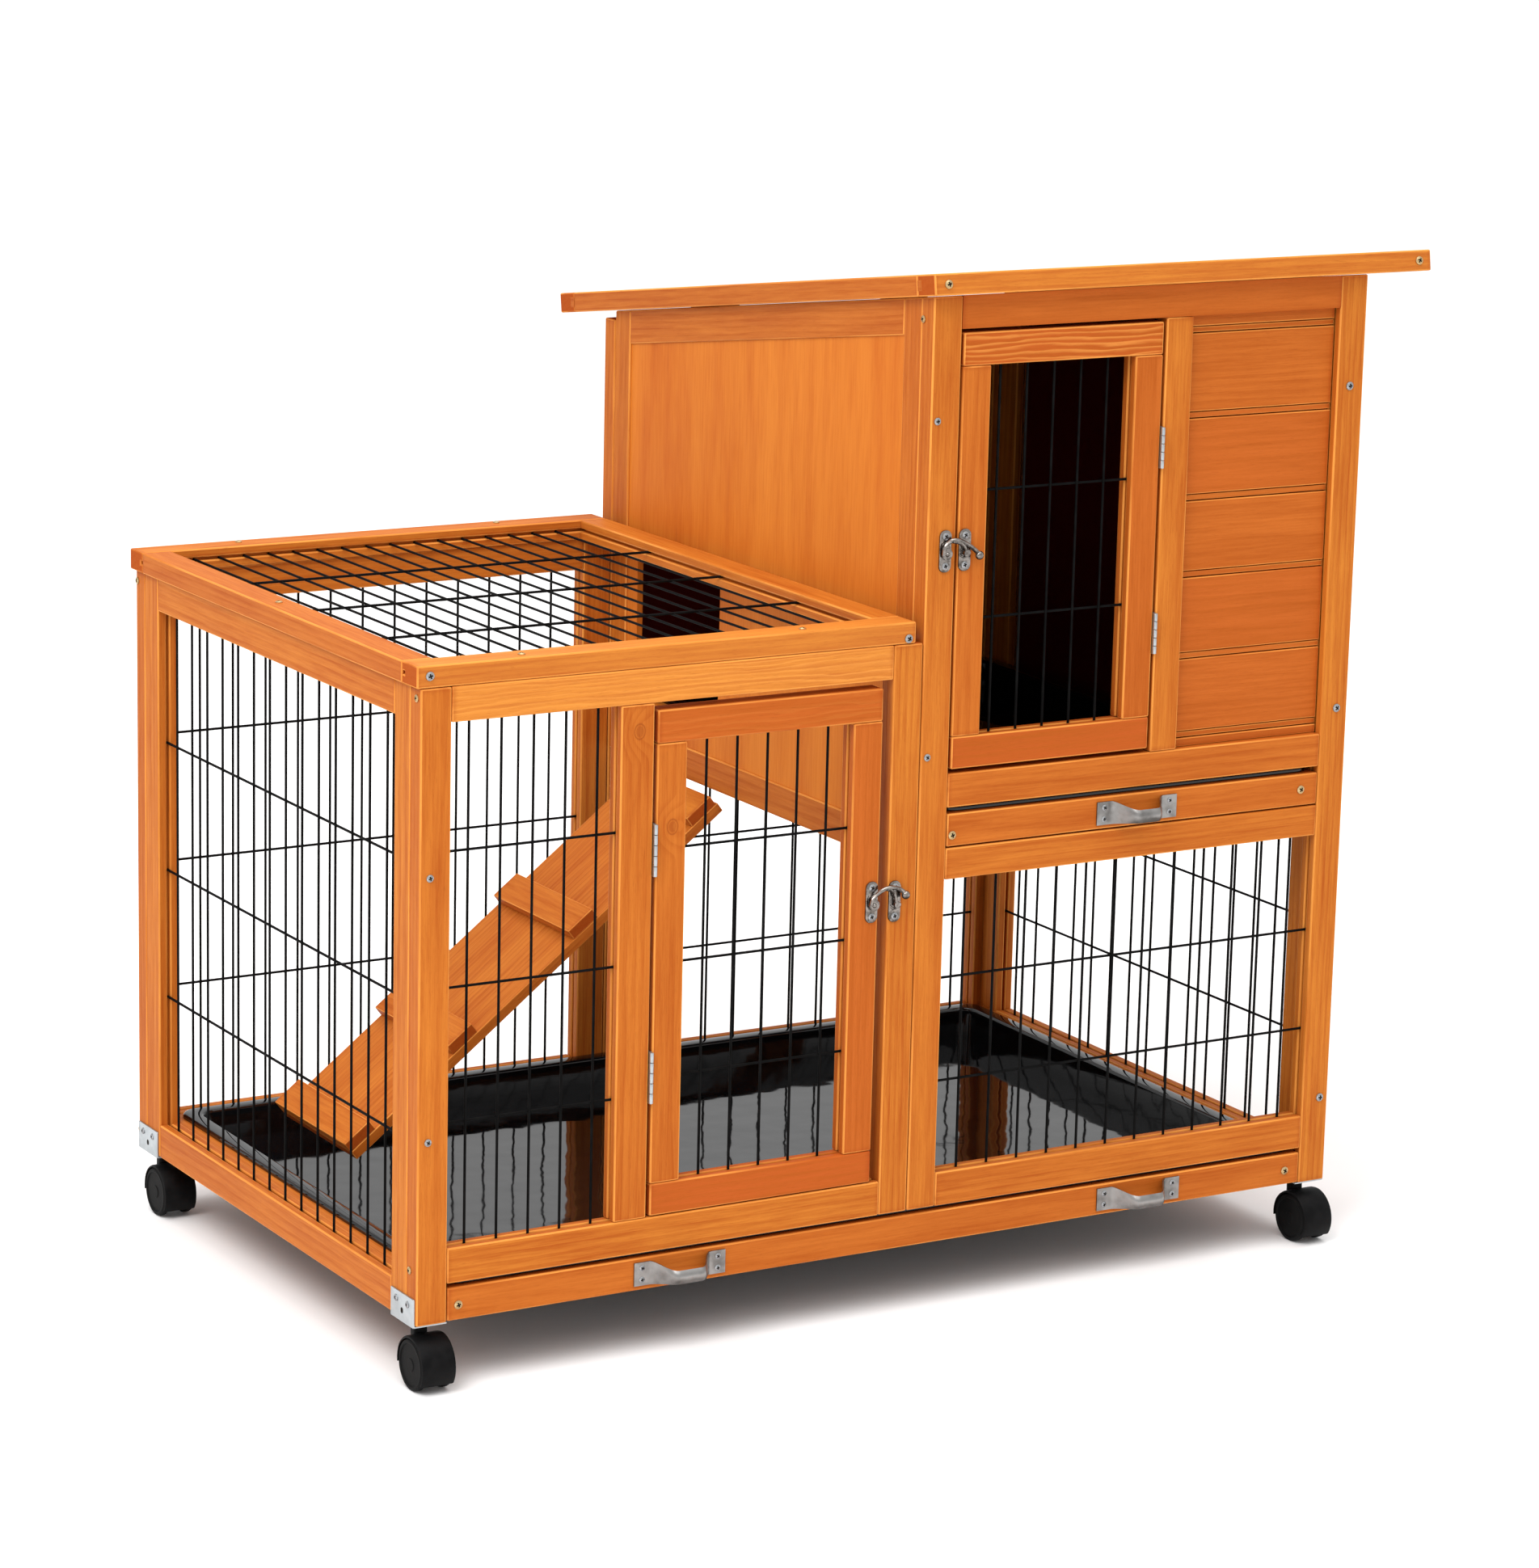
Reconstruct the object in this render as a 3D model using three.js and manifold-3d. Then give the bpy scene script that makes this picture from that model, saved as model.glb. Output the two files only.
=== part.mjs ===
// Rabbit hutch: a low wire run joined to a two-storey tower with a lifting roof.
// Millimetres. X runs along the front, Y to the back, Z up.
import * as THREE from "three";
import { mergeVertices } from "three/addons/utils/BufferGeometryUtils.js";
import Module from "manifold-3d";

const wasm = await Module();
wasm.setup();

// Working frame: X 0 at the run's left side, Y 0 at the front faces, Z 0 on the floor.
const gap = 0.3;
const boardWide = 29;
const boardThick = 20;
const bodyDeep = 600;
const legBottom = 60;
const railTall = 32;

const runRight = 495.5;
const runTop = 622;
const runRailBottom = 591;
const frontRailBottom = 95;
const jambX = [192, 224.5];
const runStileX = [466, runRight];
const sideOpeningY = [50, 550];
const backRailTop = 92;
const lidX = [-4, 488];
const lidOpeningX = [25, 459];
const lidDeep = 605;
const lidThick = 19.4;

const towerLeft = 496.5;
const towerRight = 967.5;
const towerTop = 926.8;
const towerRailBottom = 900;
const wallFall = 0.15;
const wallRailTall = 31;
const middleStileX = [745, 774];
const towerOpeningX = [526, 938];
const upperRail = [468.5, 499.6];
const lowerRail = [402, 431];
const wallRail = [410, 441];
const wallX = [497, 517];
const houseHole = { y: [368, 530], z: [470, 612] };
const backTop = 836.5;
const backRailBottom = 806;
const plyThick = 6;
const plyRecess = 2;
const slatY = [8, 17];
const slatGrooves = [511, 585, 661, 732, 808, 886];
const slatGrooveHalf = 3;
const slatGrooveDeep = 3;

const grooveDeep = 4;
const grooveWide = 3;
const wireThick = 2.2;
// Upright wires as [first, last, count], then the places of the cross wires.
const sideWires = [82, 527, 14];
const towerWires = [554, 916, 12];
const wires = {
  runFront: { along: [50, 174, 5], across: [237, 357, 477] },
  runSide: { along: sideWires, across: [217, 341, 464] },
  runBack: { along: [60, 435, 12], across: [217, 340, 464] },
  lid: { along: [50, 434, 16], across: [161, 301, 440] },
  runDoor: { along: [282, 405, 5], across: [252, 355, 458] },
  towerFront: { along: towerWires, across: [211, 308] },
  houseDoor: { along: [573.5, 688, 5], across: [638, 753.5] },
  towerSide: { along: sideWires, across: [198, 312] },
  towerBack: { along: towerWires, across: [190, 305] },
};

const runDoorX = [228, 456];
const runDoorZ = [128, 584];
const houseDoorX = [528.6, 741.8];
const houseDoorZ = [503.6, 896.3];
const doorRail = 29.5;
const pinY = -2.2;
const runPinX = 226.2;
const housePinX = 743.4;
const pinRadius = 1.9;
const leafThick = 1.1;
const leafDepth = 17;
const doorHinges = [
  { name: "run_hinge_upper", pinX: runPinX, leafX: 224.8, z: [437, 484] },
  { name: "run_hinge_lower", pinX: runPinX, leafX: 224.8, z: [232, 279] },
  { name: "house_hinge_upper", pinX: housePinX, leafX: 743.6, z: [763, 801] },
  { name: "house_hinge_lower", pinX: housePinX, leafX: 743.6, z: [592, 630] },
];

const roofX = [489, 1030];
const roofSlope = Math.atan(0.1455);
const roofFront = -13;
const roofLength = 698.8;
const roofThick = 19.4;
const roofFrontZ = 932;
const roofPinY = 602.9;
const roofPinZ = 839.6;
const roofPinRadius = 2.4;
const roofLeafThick = 1.2;
const roofLeafFront = 582;
const roofHingeX = { left: [595, 649], right: [815, 869] };
const roofPanelThick = 5;

const trayFloor = 61;
const trayWall = 2;
const lowerTrayRim = 94.4;
const upperTrayRim = 466.2;
const upperTrayFloor = 433;
const lowerTrayX = [29.5, 937.5];
const upperTrayX = [526.6, 937.5];
const trayY = [3, 578];
const trayInset = 13;
const trayLip = 18;
const flangeThick = 3;
const drawerX = { lower: [29.6, 937.4], upper: [526.6, 937.4] };
const drawerZ = { lower: [61, 90.8], upper: [432.5, 462.6] };
const ledgeWide = 20;
const ledgeBack = 14;
const ledgeTall = 8;

const bowReach = 24;
const bowThick = 5;
const bowTall = 9;
const bowPlate = { wide: 16, tall: 23, thick: 1.6 };
const handles = [
  { name: "lower_handle_left", x: 259.4, z: 76.2, length: 92.5 },
  { name: "lower_handle_right", x: 751, z: 76.2, length: 92.5 },
  { name: "upper_handle", x: 732, z: 447.2, length: 88 },
];

const rampY = [352, 507];
const rampFoot = [112.6, 97.5];
const rampTop = [498.2, 393.9];
const rampThick = 10;
const cleatWide = 32;
const cleatThick = 11;
const cleatStarts = [0, 133, 293, 452];

const wheelRadius = 23;
const wheelHalf = 16.5;
const casterTrail = 15;
const casterInsetX = 15;
const casterInsetY = 25;
const webHalf = 7.2;
const axleRadius = 4;
const hoodInner = 24.2;
const hoodOuter = 26.2;
const hoodArc = [5, 172];
const hubHalf = 8;
const wheelSides = 20;
const bracketThick = 1.5;
const bracketTop = 84;
const bracketHalf = 22;
const bracketFlange = 31;

// A latch plate, its catch and the swing hook between them.
const latchPlateThick = 1.4;
const latchTall = 36;
const latchDrop = 2;
const latchTabHalf = 6;
const pivotPost = { radius: 1.9, out: 5.2 };
const catchPost = { radius: 1.5, out: 5.2 };
const hookY = [-3.9, -2.2];
const hookTall = 9;
const hookSlot = 2.1;
const knobRadius = 6.5;
const knobOut = 9;
const latches = {
  run: {
    z: 390, plateX: [434.5, 445.5], plateTab: [445, 453.5], pivotX: 449,
    catchX: [467, 478], catchTab: [470, 476], postX: 472, tipX: 444.5, knobX: 486,
  },
  house: {
    z: 703, plateX: [530, 541], plateTab: [530, 540], pivotX: 534,
    catchX: [505.5, 516.5], catchTab: [510, 516], postX: 514, tipX: 509.5, knobX: 549,
  },
};

const finishes = {
  fir: { color: 0xd98a3d, roughness: 0.55, metalness: 0 },
  redFir: { color: 0xc96a35, roughness: 0.55, metalness: 0 },
  ply: { color: 0xd9a066, roughness: 0.6, metalness: 0 },
  wire: { color: 0x141414, roughness: 0.45, metalness: 0.3 },
  tray: { color: 0x0c0c0d, roughness: 0.12, metalness: 0 },
  zinc: { color: 0xb9bcc0, roughness: 0.35, metalness: 1 },
  chrome: { color: 0xd6d8da, roughness: 0.15, metalness: 1 },
  blackMetal: { color: 0x18181a, roughness: 0.4, metalness: 0.4 },
  caster: { color: 0x101012, roughness: 0.4, metalness: 0 },
};

function toSolid(geometry) {
  geometry.deleteAttribute("normal");
  geometry.deleteAttribute("uv");
  const merged = mergeVertices(geometry, 0.0001);
  const mesh = new wasm.Mesh({
    numProp: 3,
    vertProperties: new Float32Array(merged.attributes.position.array),
    triVerts: new Uint32Array(merged.index.array),
  });
  return new wasm.Manifold(mesh);
}

function toGeometry(solid) {
  const mesh = solid.getMesh();
  const geometry = new THREE.BufferGeometry();
  geometry.setAttribute("position", new THREE.BufferAttribute(mesh.vertProperties, 3));
  geometry.setIndex(new THREE.BufferAttribute(mesh.triVerts, 1));
  const flat = geometry.toNonIndexed();
  flat.computeVertexNormals();
  return flat;
}

function box(x, y, z) {
  const geometry = new THREE.BoxGeometry(x[1] - x[0], y[1] - y[0], z[1] - z[0]);
  geometry.translate((x[0] + x[1]) / 2, (y[0] + y[1]) / 2, (z[0] + z[1]) / 2);
  return toSolid(geometry);
}

// Extrudes an outline drawn in (a, b) along the third axis from low to high.
function prism(axis, outline, low, high, holes = []) {
  const shape = new THREE.Shape(outline.map(([a, b]) => new THREE.Vector2(a, b)));
  for (const hole of holes) {
    shape.holes.push(new THREE.Path(hole.map(([a, b]) => new THREE.Vector2(a, b))));
  }
  const geometry = new THREE.ExtrudeGeometry(shape, { depth: high - low, bevelEnabled: false });
  const turn = new THREE.Matrix4();
  if (axis === "x") {
    turn.set(0, 0, 1, low, 1, 0, 0, 0, 0, 1, 0, 0, 0, 0, 0, 1);
  }
  if (axis === "y") {
    turn.set(1, 0, 0, 0, 0, 0, -1, high, 0, 1, 0, 0, 0, 0, 0, 1);
  }
  if (axis === "z") {
    turn.set(1, 0, 0, 0, 0, 1, 0, 0, 0, 0, 1, low, 0, 0, 0, 1);
  }
  geometry.applyMatrix4(turn);
  return toSolid(geometry);
}

function rod(axis, centre, radius, low, high, sides = 12) {
  const outline = [];
  for (let i = 0; i < sides; i += 1) {
    const angle = ((i + 0.5) / sides) * Math.PI * 2;
    outline.push([centre[0] + Math.cos(angle) * radius, centre[1] + Math.sin(angle) * radius]);
  }
  return prism(axis, outline, low, high);
}

function unite(solids) {
  return wasm.Manifold.union(solids);
}

function widen(span, by) {
  return [span[0] - by, span[1] + by];
}

function centred(span, width) {
  const middle = (span[0] + span[1]) / 2;
  return [middle - width / 2, middle + width / 2];
}

// Cuts the narrow groove round an opening's inner edge that takes the wire ends.
function grooved(solid, axis, opening, thickness) {
  const slot = centred(thickness, grooveWide);
  const a = widen(opening.a, grooveDeep);
  const b = widen(opening.b, grooveDeep);
  if (axis === "y") {
    return solid.subtract(box(a, slot, b));
  }
  if (axis === "x") {
    return solid.subtract(box(slot, a, b));
  }
  return solid.subtract(box(a, b, slot));
}

// Welded wires across an opening: lists of positions along a and along b.
function wireGrid(axis, opening, thickness, atA, atB) {
  const reach = grooveDeep - gap;
  const a = widen(opening.a, reach);
  const b = widen(opening.b, reach);
  const slot = centred(thickness, wireThick);
  const half = wireThick / 2;
  const wires = [];
  for (const position of atA) {
    const span = [position - half, position + half];
    wires.push(gridBar(axis, span, b, slot));
  }
  for (const position of atB) {
    const span = [position - half, position + half];
    wires.push(gridBar(axis, a, span, slot));
  }
  return unite(wires);
}

function gridBar(axis, a, b, slot) {
  if (axis === "y") {
    return box(a, slot, b);
  }
  if (axis === "x") {
    return box(slot, a, b);
  }
  return box(a, b, slot);
}

function evenly(low, high, count) {
  const pitch = (high - low) / (count - 1);
  return Array.from({ length: count }, (_, i) => low + i * pitch);
}

const frontY = [0, boardThick];
const backY = [bodyDeep - boardThick, bodyDeep];
const leftX = [0, boardThick];
const rightX = [towerRight - boardThick, towerRight];

function wallTop(y) {
  return towerTop - wallFall * y;
}

const frontRailTop = frontRailBottom + railTall;
const openings = {
  runFront: { a: [boardWide, jambX[0]], b: [frontRailTop, runRailBottom] },
  runDoor: { a: widen(runDoorX, -doorRail), b: widen(runDoorZ, -doorRail) },
  runSide: { a: sideOpeningY, b: [backRailTop, runRailBottom] },
  runBack: { a: [boardWide, runStileX[0]], b: [backRailTop, runRailBottom] },
  lid: { a: lidOpeningX, b: [boardWide, lidDeep - boardWide] },
  towerFront: { a: towerOpeningX, b: [frontRailTop, lowerRail[0]] },
  houseDoor: { a: widen(houseDoorX, -doorRail), b: widen(houseDoorZ, -doorRail) },
  towerSide: { a: sideOpeningY, b: [backRailTop, wallRail[0]] },
  towerBack: { a: towerOpeningX, b: [backRailTop, wallRail[0]] },
};

function runFrontFrame() {
  const boards = [
    box([0, boardWide], frontY, [legBottom, runTop]),
    box(runStileX, frontY, [frontRailBottom, runTop]),
    box(jambX, frontY, [frontRailBottom, runTop]),
    box([0, runRight], frontY, [runRailBottom, runTop]),
    box([boardWide, runRight], frontY, [frontRailBottom, frontRailTop]),
  ];
  return grooved(unite(boards), "y", openings.runFront, frontY);
}

function sideFrame(x) {
  const y = [boardThick + gap, bodyDeep - boardThick - gap];
  const frame = box(x, y, [legBottom, runTop]);
  const hole = box(widen(x, 1), openings.runSide.a, openings.runSide.b);
  return grooved(frame.subtract(hole), "x", openings.runSide, x);
}

function runBackFrame() {
  const frame = box([0, runRight], backY, [legBottom, runTop]);
  const hole = box(openings.runBack.a, widen(backY, 1), openings.runBack.b);
  return grooved(frame.subtract(hole), "y", openings.runBack, backY);
}

function lidZ() {
  return [runTop + gap, runTop + gap + lidThick];
}

function lidFrame() {
  const frame = box(lidX, [0, lidDeep], lidZ());
  const hole = box(openings.lid.a, openings.lid.b, widen(lidZ(), 1));
  return grooved(frame.subtract(hole), "z", openings.lid, lidZ());
}

function doorFrame(x, z, opening) {
  const frame = box(x, frontY, z);
  const hole = box(opening.a, widen(frontY, 1), opening.b);
  return grooved(frame.subtract(hole), "y", opening, frontY);
}

function towerFrontFrame() {
  const boards = [
    box([towerLeft, towerOpeningX[0]], frontY, [frontRailBottom, towerTop]),
    box([towerOpeningX[1], towerRight], frontY, [legBottom, towerTop]),
    box(middleStileX, frontY, [upperRail[0], towerTop]),
    box([towerLeft, towerRight], frontY, [towerRailBottom, towerTop]),
    box([towerLeft, towerRight], frontY, upperRail),
    box([towerLeft, towerRight], frontY, lowerRail),
    box([towerLeft, towerRight], frontY, [frontRailBottom, frontRailTop]),
  ];
  return grooved(unite(boards), "y", openings.towerFront, frontY);
}

function frontSlats() {
  const bottom = upperRail[1] + gap;
  const top = towerRailBottom - gap;
  const outline = [[slatY[1], bottom], [slatY[1], top], [slatY[0], top]];
  for (const z of [...slatGrooves].reverse()) {
    outline.push([slatY[0], z + slatGrooveHalf]);
    outline.push([slatY[0] + slatGrooveDeep, z]);
    outline.push([slatY[0], z - slatGrooveHalf]);
  }
  outline.push([slatY[0], bottom]);
  return prism("x", outline, middleStileX[1] + gap, towerOpeningX[1] - gap);
}

function slopedWall(x, bottom) {
  const y = [boardThick + gap, bodyDeep - boardThick - gap];
  const outline = [[y[0], bottom], [y[1], bottom], [y[1], wallTop(y[1])], [y[0], wallTop(y[0])]];
  return prism("x", outline, x[0], x[1]);
}

function slopedOpening(margin) {
  const y = widen(sideOpeningY, margin);
  const bottom = wallRail[1] - margin;
  const fall = wallRailTall - margin;
  return [[y[0], bottom], [y[1], bottom], [y[1], wallTop(y[1]) - fall], [y[0], wallTop(y[0]) - fall]];
}

// The thin wall panels sit just behind the outer face of their frames.
function plySeat(span, outward) {
  if (outward < 0) {
    return [span[0] + plyRecess, span[0] + plyRecess + plyThick];
  }
  return [span[1] - plyRecess - plyThick, span[1] - plyRecess];
}

function slopedFrame(x, bottom, outward) {
  const frame = slopedWall(x, bottom);
  const hole = prism("x", slopedOpening(0), x[0] - 1, x[1] + 1);
  const slot = widen(plySeat(x, outward), gap);
  const groove = prism("x", slopedOpening(grooveDeep), slot[0], slot[1]);
  return frame.subtract(unite([hole, groove]));
}

function slopedPanel(x, outward, holes) {
  const slot = plySeat(x, outward);
  return prism("x", slopedOpening(grooveDeep - gap), slot[0], slot[1], holes);
}

function leftWallPanel() {
  const { y, z } = houseHole;
  const hole = [[y[0], z[0]], [y[1], z[0]], [y[1], z[1]], [y[0], z[1]]];
  return slopedPanel(wallX, -1, [hole]);
}

function rightFrame() {
  const frame = slopedFrame(rightX, legBottom, 1);
  const hole = box(widen(rightX, 1), openings.towerSide.a, openings.towerSide.b);
  return grooved(frame.subtract(hole), "x", openings.towerSide, rightX);
}

function backUpper(margin) {
  return { a: widen(openings.towerBack.a, margin), b: widen([wallRail[1], backRailBottom], margin) };
}

function towerBackFrame() {
  const frame = box([towerLeft, towerRight], backY, [legBottom, backTop]);
  const upper = backUpper(0);
  const seat = backUpper(grooveDeep);
  const holes = [
    box(openings.towerBack.a, widen(backY, 1), openings.towerBack.b),
    box(upper.a, widen(backY, 1), upper.b),
    box(seat.a, widen(plySeat(backY, 1), gap), seat.b),
  ];
  return grooved(frame.subtract(unite(holes)), "y", openings.towerBack, backY);
}

function towerBackPanel() {
  const seat = backUpper(grooveDeep - gap);
  return box(seat.a, plySeat(backY, 1), seat.b);
}

const roofOpening = { a: widen(roofX, -boardWide), b: [boardWide, roofLength - boardWide] };

// Roof pieces are drawn flat, then tipped down to the back.
function tipped(solid) {
  return solid.rotate([-THREE.MathUtils.radToDeg(roofSlope), 0, 0]).translate([0, roofFront, roofFrontZ]);
}

function roofFrame() {
  const frame = box(roofX, [0, roofLength], [0, roofThick]);
  const hole = box(roofOpening.a, roofOpening.b, [-1, roofThick + 1]);
  const seat = centred([0, roofThick], roofPanelThick + 2 * gap);
  const groove = box(widen(roofOpening.a, grooveDeep), widen(roofOpening.b, grooveDeep), seat);
  return tipped(frame.subtract(unite([hole, groove])));
}

function roofPanel() {
  const reach = grooveDeep - gap;
  const thick = centred([0, roofThick], roofPanelThick);
  return tipped(box(widen(roofOpening.a, reach), widen(roofOpening.b, reach), thick));
}

// Trays: a moulded pan whose flange rides on the ledges.
function tray(x, rim, floor) {
  const outerX = widen(x, -trayInset);
  const outerY = [trayY[0] + trayLip, trayY[1] - trayInset];
  const pan = box(outerX, outerY, [floor, rim]);
  const flange = box(x, trayY, [rim - flangeThick, rim]);
  const hollow = box(widen(outerX, -trayWall), widen(outerY, -trayWall), [floor + trayWall, rim + 1]);
  return unite([pan, flange]).subtract(hollow);
}

// A ledge along both sides and the back carries each tray's flange.
function ledge(x, z) {
  const outer = box(x, [boardThick + gap, bodyDeep - boardThick - gap], z);
  const inner = box(widen(x, -ledgeWide), [0, bodyDeep - boardThick - ledgeBack], widen(z, 1));
  return outer.subtract(inner);
}

function lowerLedge() {
  return ledge([boardThick + gap, rightX[0] - gap], [legBottom + gap, lowerTrayRim - flangeThick - gap]);
}

function upperLedge() {
  return ledge([wallX[1] + gap, rightX[0] - gap], [wallRail[1] - ledgeTall, upperTrayRim - flangeThick - gap]);
}

// A pull bent from one strip: a foot plate at each end and a bow between them.
function bowHandle(centreX, centreZ, length) {
  const x = [centreX - length / 2, centreX + length / 2];
  const face = -gap;
  const out = face - bowReach;
  const foot = bowPlate.wide - 3;
  const outline = [
    [x[0] + foot, face], [x[0] + foot + 4, out + 7], [x[0] + foot + 10, out],
    [x[1] - foot - 10, out], [x[1] - foot - 4, out + 7], [x[1] - foot, face],
    [x[1] - foot - bowThick, face], [x[1] - foot - bowThick - 4, out + 7 + bowThick / 2],
    [x[1] - foot - bowThick - 7, out + bowThick], [x[0] + foot + bowThick + 7, out + bowThick],
    [x[0] + foot + bowThick + 4, out + 7 + bowThick / 2], [x[0] + foot + bowThick, face],
  ];
  const half = bowTall / 2;
  const parts = [prism("z", outline, centreZ - half, centreZ + half)];
  const plateZ = [centreZ - bowPlate.tall / 2, centreZ + bowPlate.tall / 2];
  const plateY = [face - bowPlate.thick, face];
  parts.push(box([x[0], x[0] + bowPlate.wide + 4], plateY, plateZ));
  parts.push(box([x[1] - bowPlate.wide - 4, x[1]], plateY, plateZ));
  return unite(parts);
}

function ramp() {
  const run = rampTop[0] - rampFoot[0];
  const rise = rampTop[1] - rampFoot[1];
  const length = Math.hypot(run, rise);
  const outline = [[0, 0], [length, 0], [length, rampThick]];
  for (const start of [...cleatStarts].reverse()) {
    outline.push([start + cleatWide, rampThick]);
    outline.push([start + cleatWide, rampThick + cleatThick]);
    outline.push([start, rampThick + cleatThick]);
    if (start > 0) {
      outline.push([start, rampThick]);
    }
  }
  const angle = Math.atan2(rise, run);
  const cos = Math.cos(angle);
  const sin = Math.sin(angle);
  const place = ([a, b]) => [rampFoot[0] + a * cos - b * sin, rampFoot[1] + a * sin + b * cos];
  return prism("y", outline.map(place), rampY[0], rampY[1]);
}

// An angle plate on the side face with its flange under the post.
function casterBracket(sideX, outward, centreY) {
  const face = sideX + outward * gap;
  const outer = face + outward * bracketThick;
  const inner = sideX - outward * bracketFlange;
  const y = [centreY - bracketHalf, centreY + bracketHalf];
  const under = [legBottom - gap - bracketThick, legBottom - gap];
  const plateX = [Math.min(face, outer), Math.max(face, outer)];
  const flangeX = [Math.min(outer, inner), Math.max(outer, inner)];
  return unite([box(plateX, y, [under[0], bracketTop]), box(flangeX, y, under)]);
}

function arcPoints(centre, radius, from, to, steps) {
  const points = [];
  for (let i = 0; i <= steps; i += 1) {
    const angle = THREE.MathUtils.degToRad(from + ((to - from) * i) / steps);
    points.push([centre[0] + Math.cos(angle) * radius, centre[1] + Math.sin(angle) * radius]);
  }
  return points;
}

function casterHood(stemX, stemY) {
  const centre = [stemY - casterTrail, wheelRadius];
  const outer = arcPoints(centre, hoodOuter, hoodArc[0], hoodArc[1], 8);
  const inner = arcPoints(centre, hoodInner, hoodArc[1], hoodArc[0], 8);
  const cover = prism("x", [...outer, ...inner], stemX - wheelHalf, stemX + wheelHalf);
  const web = prism("x", [...arcPoints(centre, hoodInner + 1, hoodArc[0], hoodArc[1], 8),
    [centre[0], centre[1] - 9]], stemX - webHalf, stemX + webHalf);
  const stem = rod("z", [stemX, stemY], webHalf - 0.2, wheelRadius + 8, 57.9);
  const bore = rod("x", centre, axleRadius + 0.6, stemX - 30, stemX + 30, 12);
  return unite([cover, web, stem]).subtract(bore);
}

// The tread is drawn as flats, one of them level on the floor.
function casterWheels(stemX, stemY) {
  const halfStep = Math.PI / wheelSides;
  const tread = wheelRadius / Math.cos(halfStep);
  const half = [
    [0, -wheelHalf], [tread - 2, -wheelHalf], [tread, -wheelHalf + 2],
    [tread, -hubHalf - 1], [tread - 1, -hubHalf], [axleRadius, -hubHalf],
  ];
  const other = [...half].reverse().map(([r, x]) => [r, -x]);
  const profile = [...half, ...other].map(([r, x]) => new THREE.Vector2(r, x));
  const geometry = new THREE.LatheGeometry(profile, wheelSides);
  geometry.rotateZ(-Math.PI / 2);
  geometry.rotateX(halfStep);
  geometry.translate(stemX, stemY - casterTrail, wheelRadius);
  return toSolid(geometry);
}

// A plate with two screw ends, and a post that the hook turns on or drops over.
function latchPlate(x, z, tab, postX, post) {
  const plateY = [-gap - latchPlateThick, -gap];
  const parts = [
    box(x, plateY, [z - latchTall / 2, z + latchTall / 2]),
    box(tab, plateY, [z - latchTabHalf, z + latchTabHalf]),
    rod("y", [postX, z - latchDrop], post.radius, -post.out, -gap - latchPlateThick / 2),
  ];
  return unite(parts);
}

// The hook is slotted from below where it drops over the catch post.
function latchHook({ z, pivotX, postX, tipX, knobX }) {
  const level = z - latchDrop;
  const tall = [level - hookTall / 2, level + hookTall / 2];
  const bar = box([Math.min(tipX, knobX), Math.max(tipX, knobX)], hookY, tall);
  const slot = box([postX - hookSlot, postX + hookSlot], widen(hookY, 1), [tall[0] - 1, level + hookSlot]);
  const knob = rod("y", [knobX, z], knobRadius, -knobOut, hookY[1]);
  const bore = rod("y", [pivotX, level], pivotPost.radius + gap, -knobOut, 0);
  return unite([bar, knob]).subtract(unite([slot, bore]));
}

function doorHinge({ pinX, leafX, z }) {
  const barrel = rod("z", [pinX, pinY], pinRadius, z[0], z[1], 10);
  const leaf = box([leafX, leafX + leafThick], [pinY, leafDepth], z);
  return unite([barrel, leaf]);
}

function roofHinge(x) {
  const leafLow = backTop + gap;
  const leaf = box(x, [roofLeafFront, roofPinY], [leafLow, leafLow + roofLeafThick]);
  const barrel = rod("x", [roofPinY, roofPinZ], roofPinRadius, x[0], x[1], 10);
  return unite([leaf, barrel]);
}

const group = new THREE.Group();

function add(name, finish, solid) {
  const material = new THREE.MeshStandardMaterial(finishes[finish]);
  const mesh = new THREE.Mesh(toGeometry(solid), material);
  mesh.name = name;
  group.add(mesh);
}

add("run_front_frame", "fir", runFrontFrame());
add("run_side_frame", "fir", sideFrame(leftX));
add("run_back_frame", "fir", runBackFrame());
add("lid_frame", "fir", lidFrame());
add("run_door_frame", "redFir", doorFrame(runDoorX, runDoorZ, openings.runDoor));
add("tower_front_frame", "fir", towerFrontFrame());
add("tower_left_frame", "fir", slopedFrame(wallX, wallRail[0], -1));
add("tower_right_frame", "fir", rightFrame());
add("tower_back_frame", "fir", towerBackFrame());
add("house_door_frame", "redFir", doorFrame(houseDoorX, houseDoorZ, openings.houseDoor));
add("roof_frame", "fir", roofFrame());

add("front_slats", "fir", frontSlats());
add("left_wall_panel", "ply", leftWallPanel());
add("right_wall_panel", "ply", slopedPanel(rightX, 1, []));
add("back_wall_panel", "ply", towerBackPanel());
add("roof_panel", "ply", roofPanel());

// Welded wires over an opening of the same name.
function addMesh(name, key, axis, thickness) {
  const { along, across } = wires[key];
  add(name, "wire", wireGrid(axis, openings[key], thickness, evenly(...along), across));
}

addMesh("run_front_mesh", "runFront", "y", frontY);
addMesh("run_side_mesh", "runSide", "x", leftX);
addMesh("run_back_mesh", "runBack", "y", backY);
addMesh("lid_mesh", "lid", "z", lidZ());
addMesh("run_door_mesh", "runDoor", "y", frontY);
addMesh("tower_front_mesh", "towerFront", "y", frontY);
addMesh("house_door_mesh", "houseDoor", "y", frontY);
addMesh("tower_right_mesh", "towerSide", "x", rightX);
addMesh("tower_back_mesh", "towerBack", "y", backY);

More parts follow.
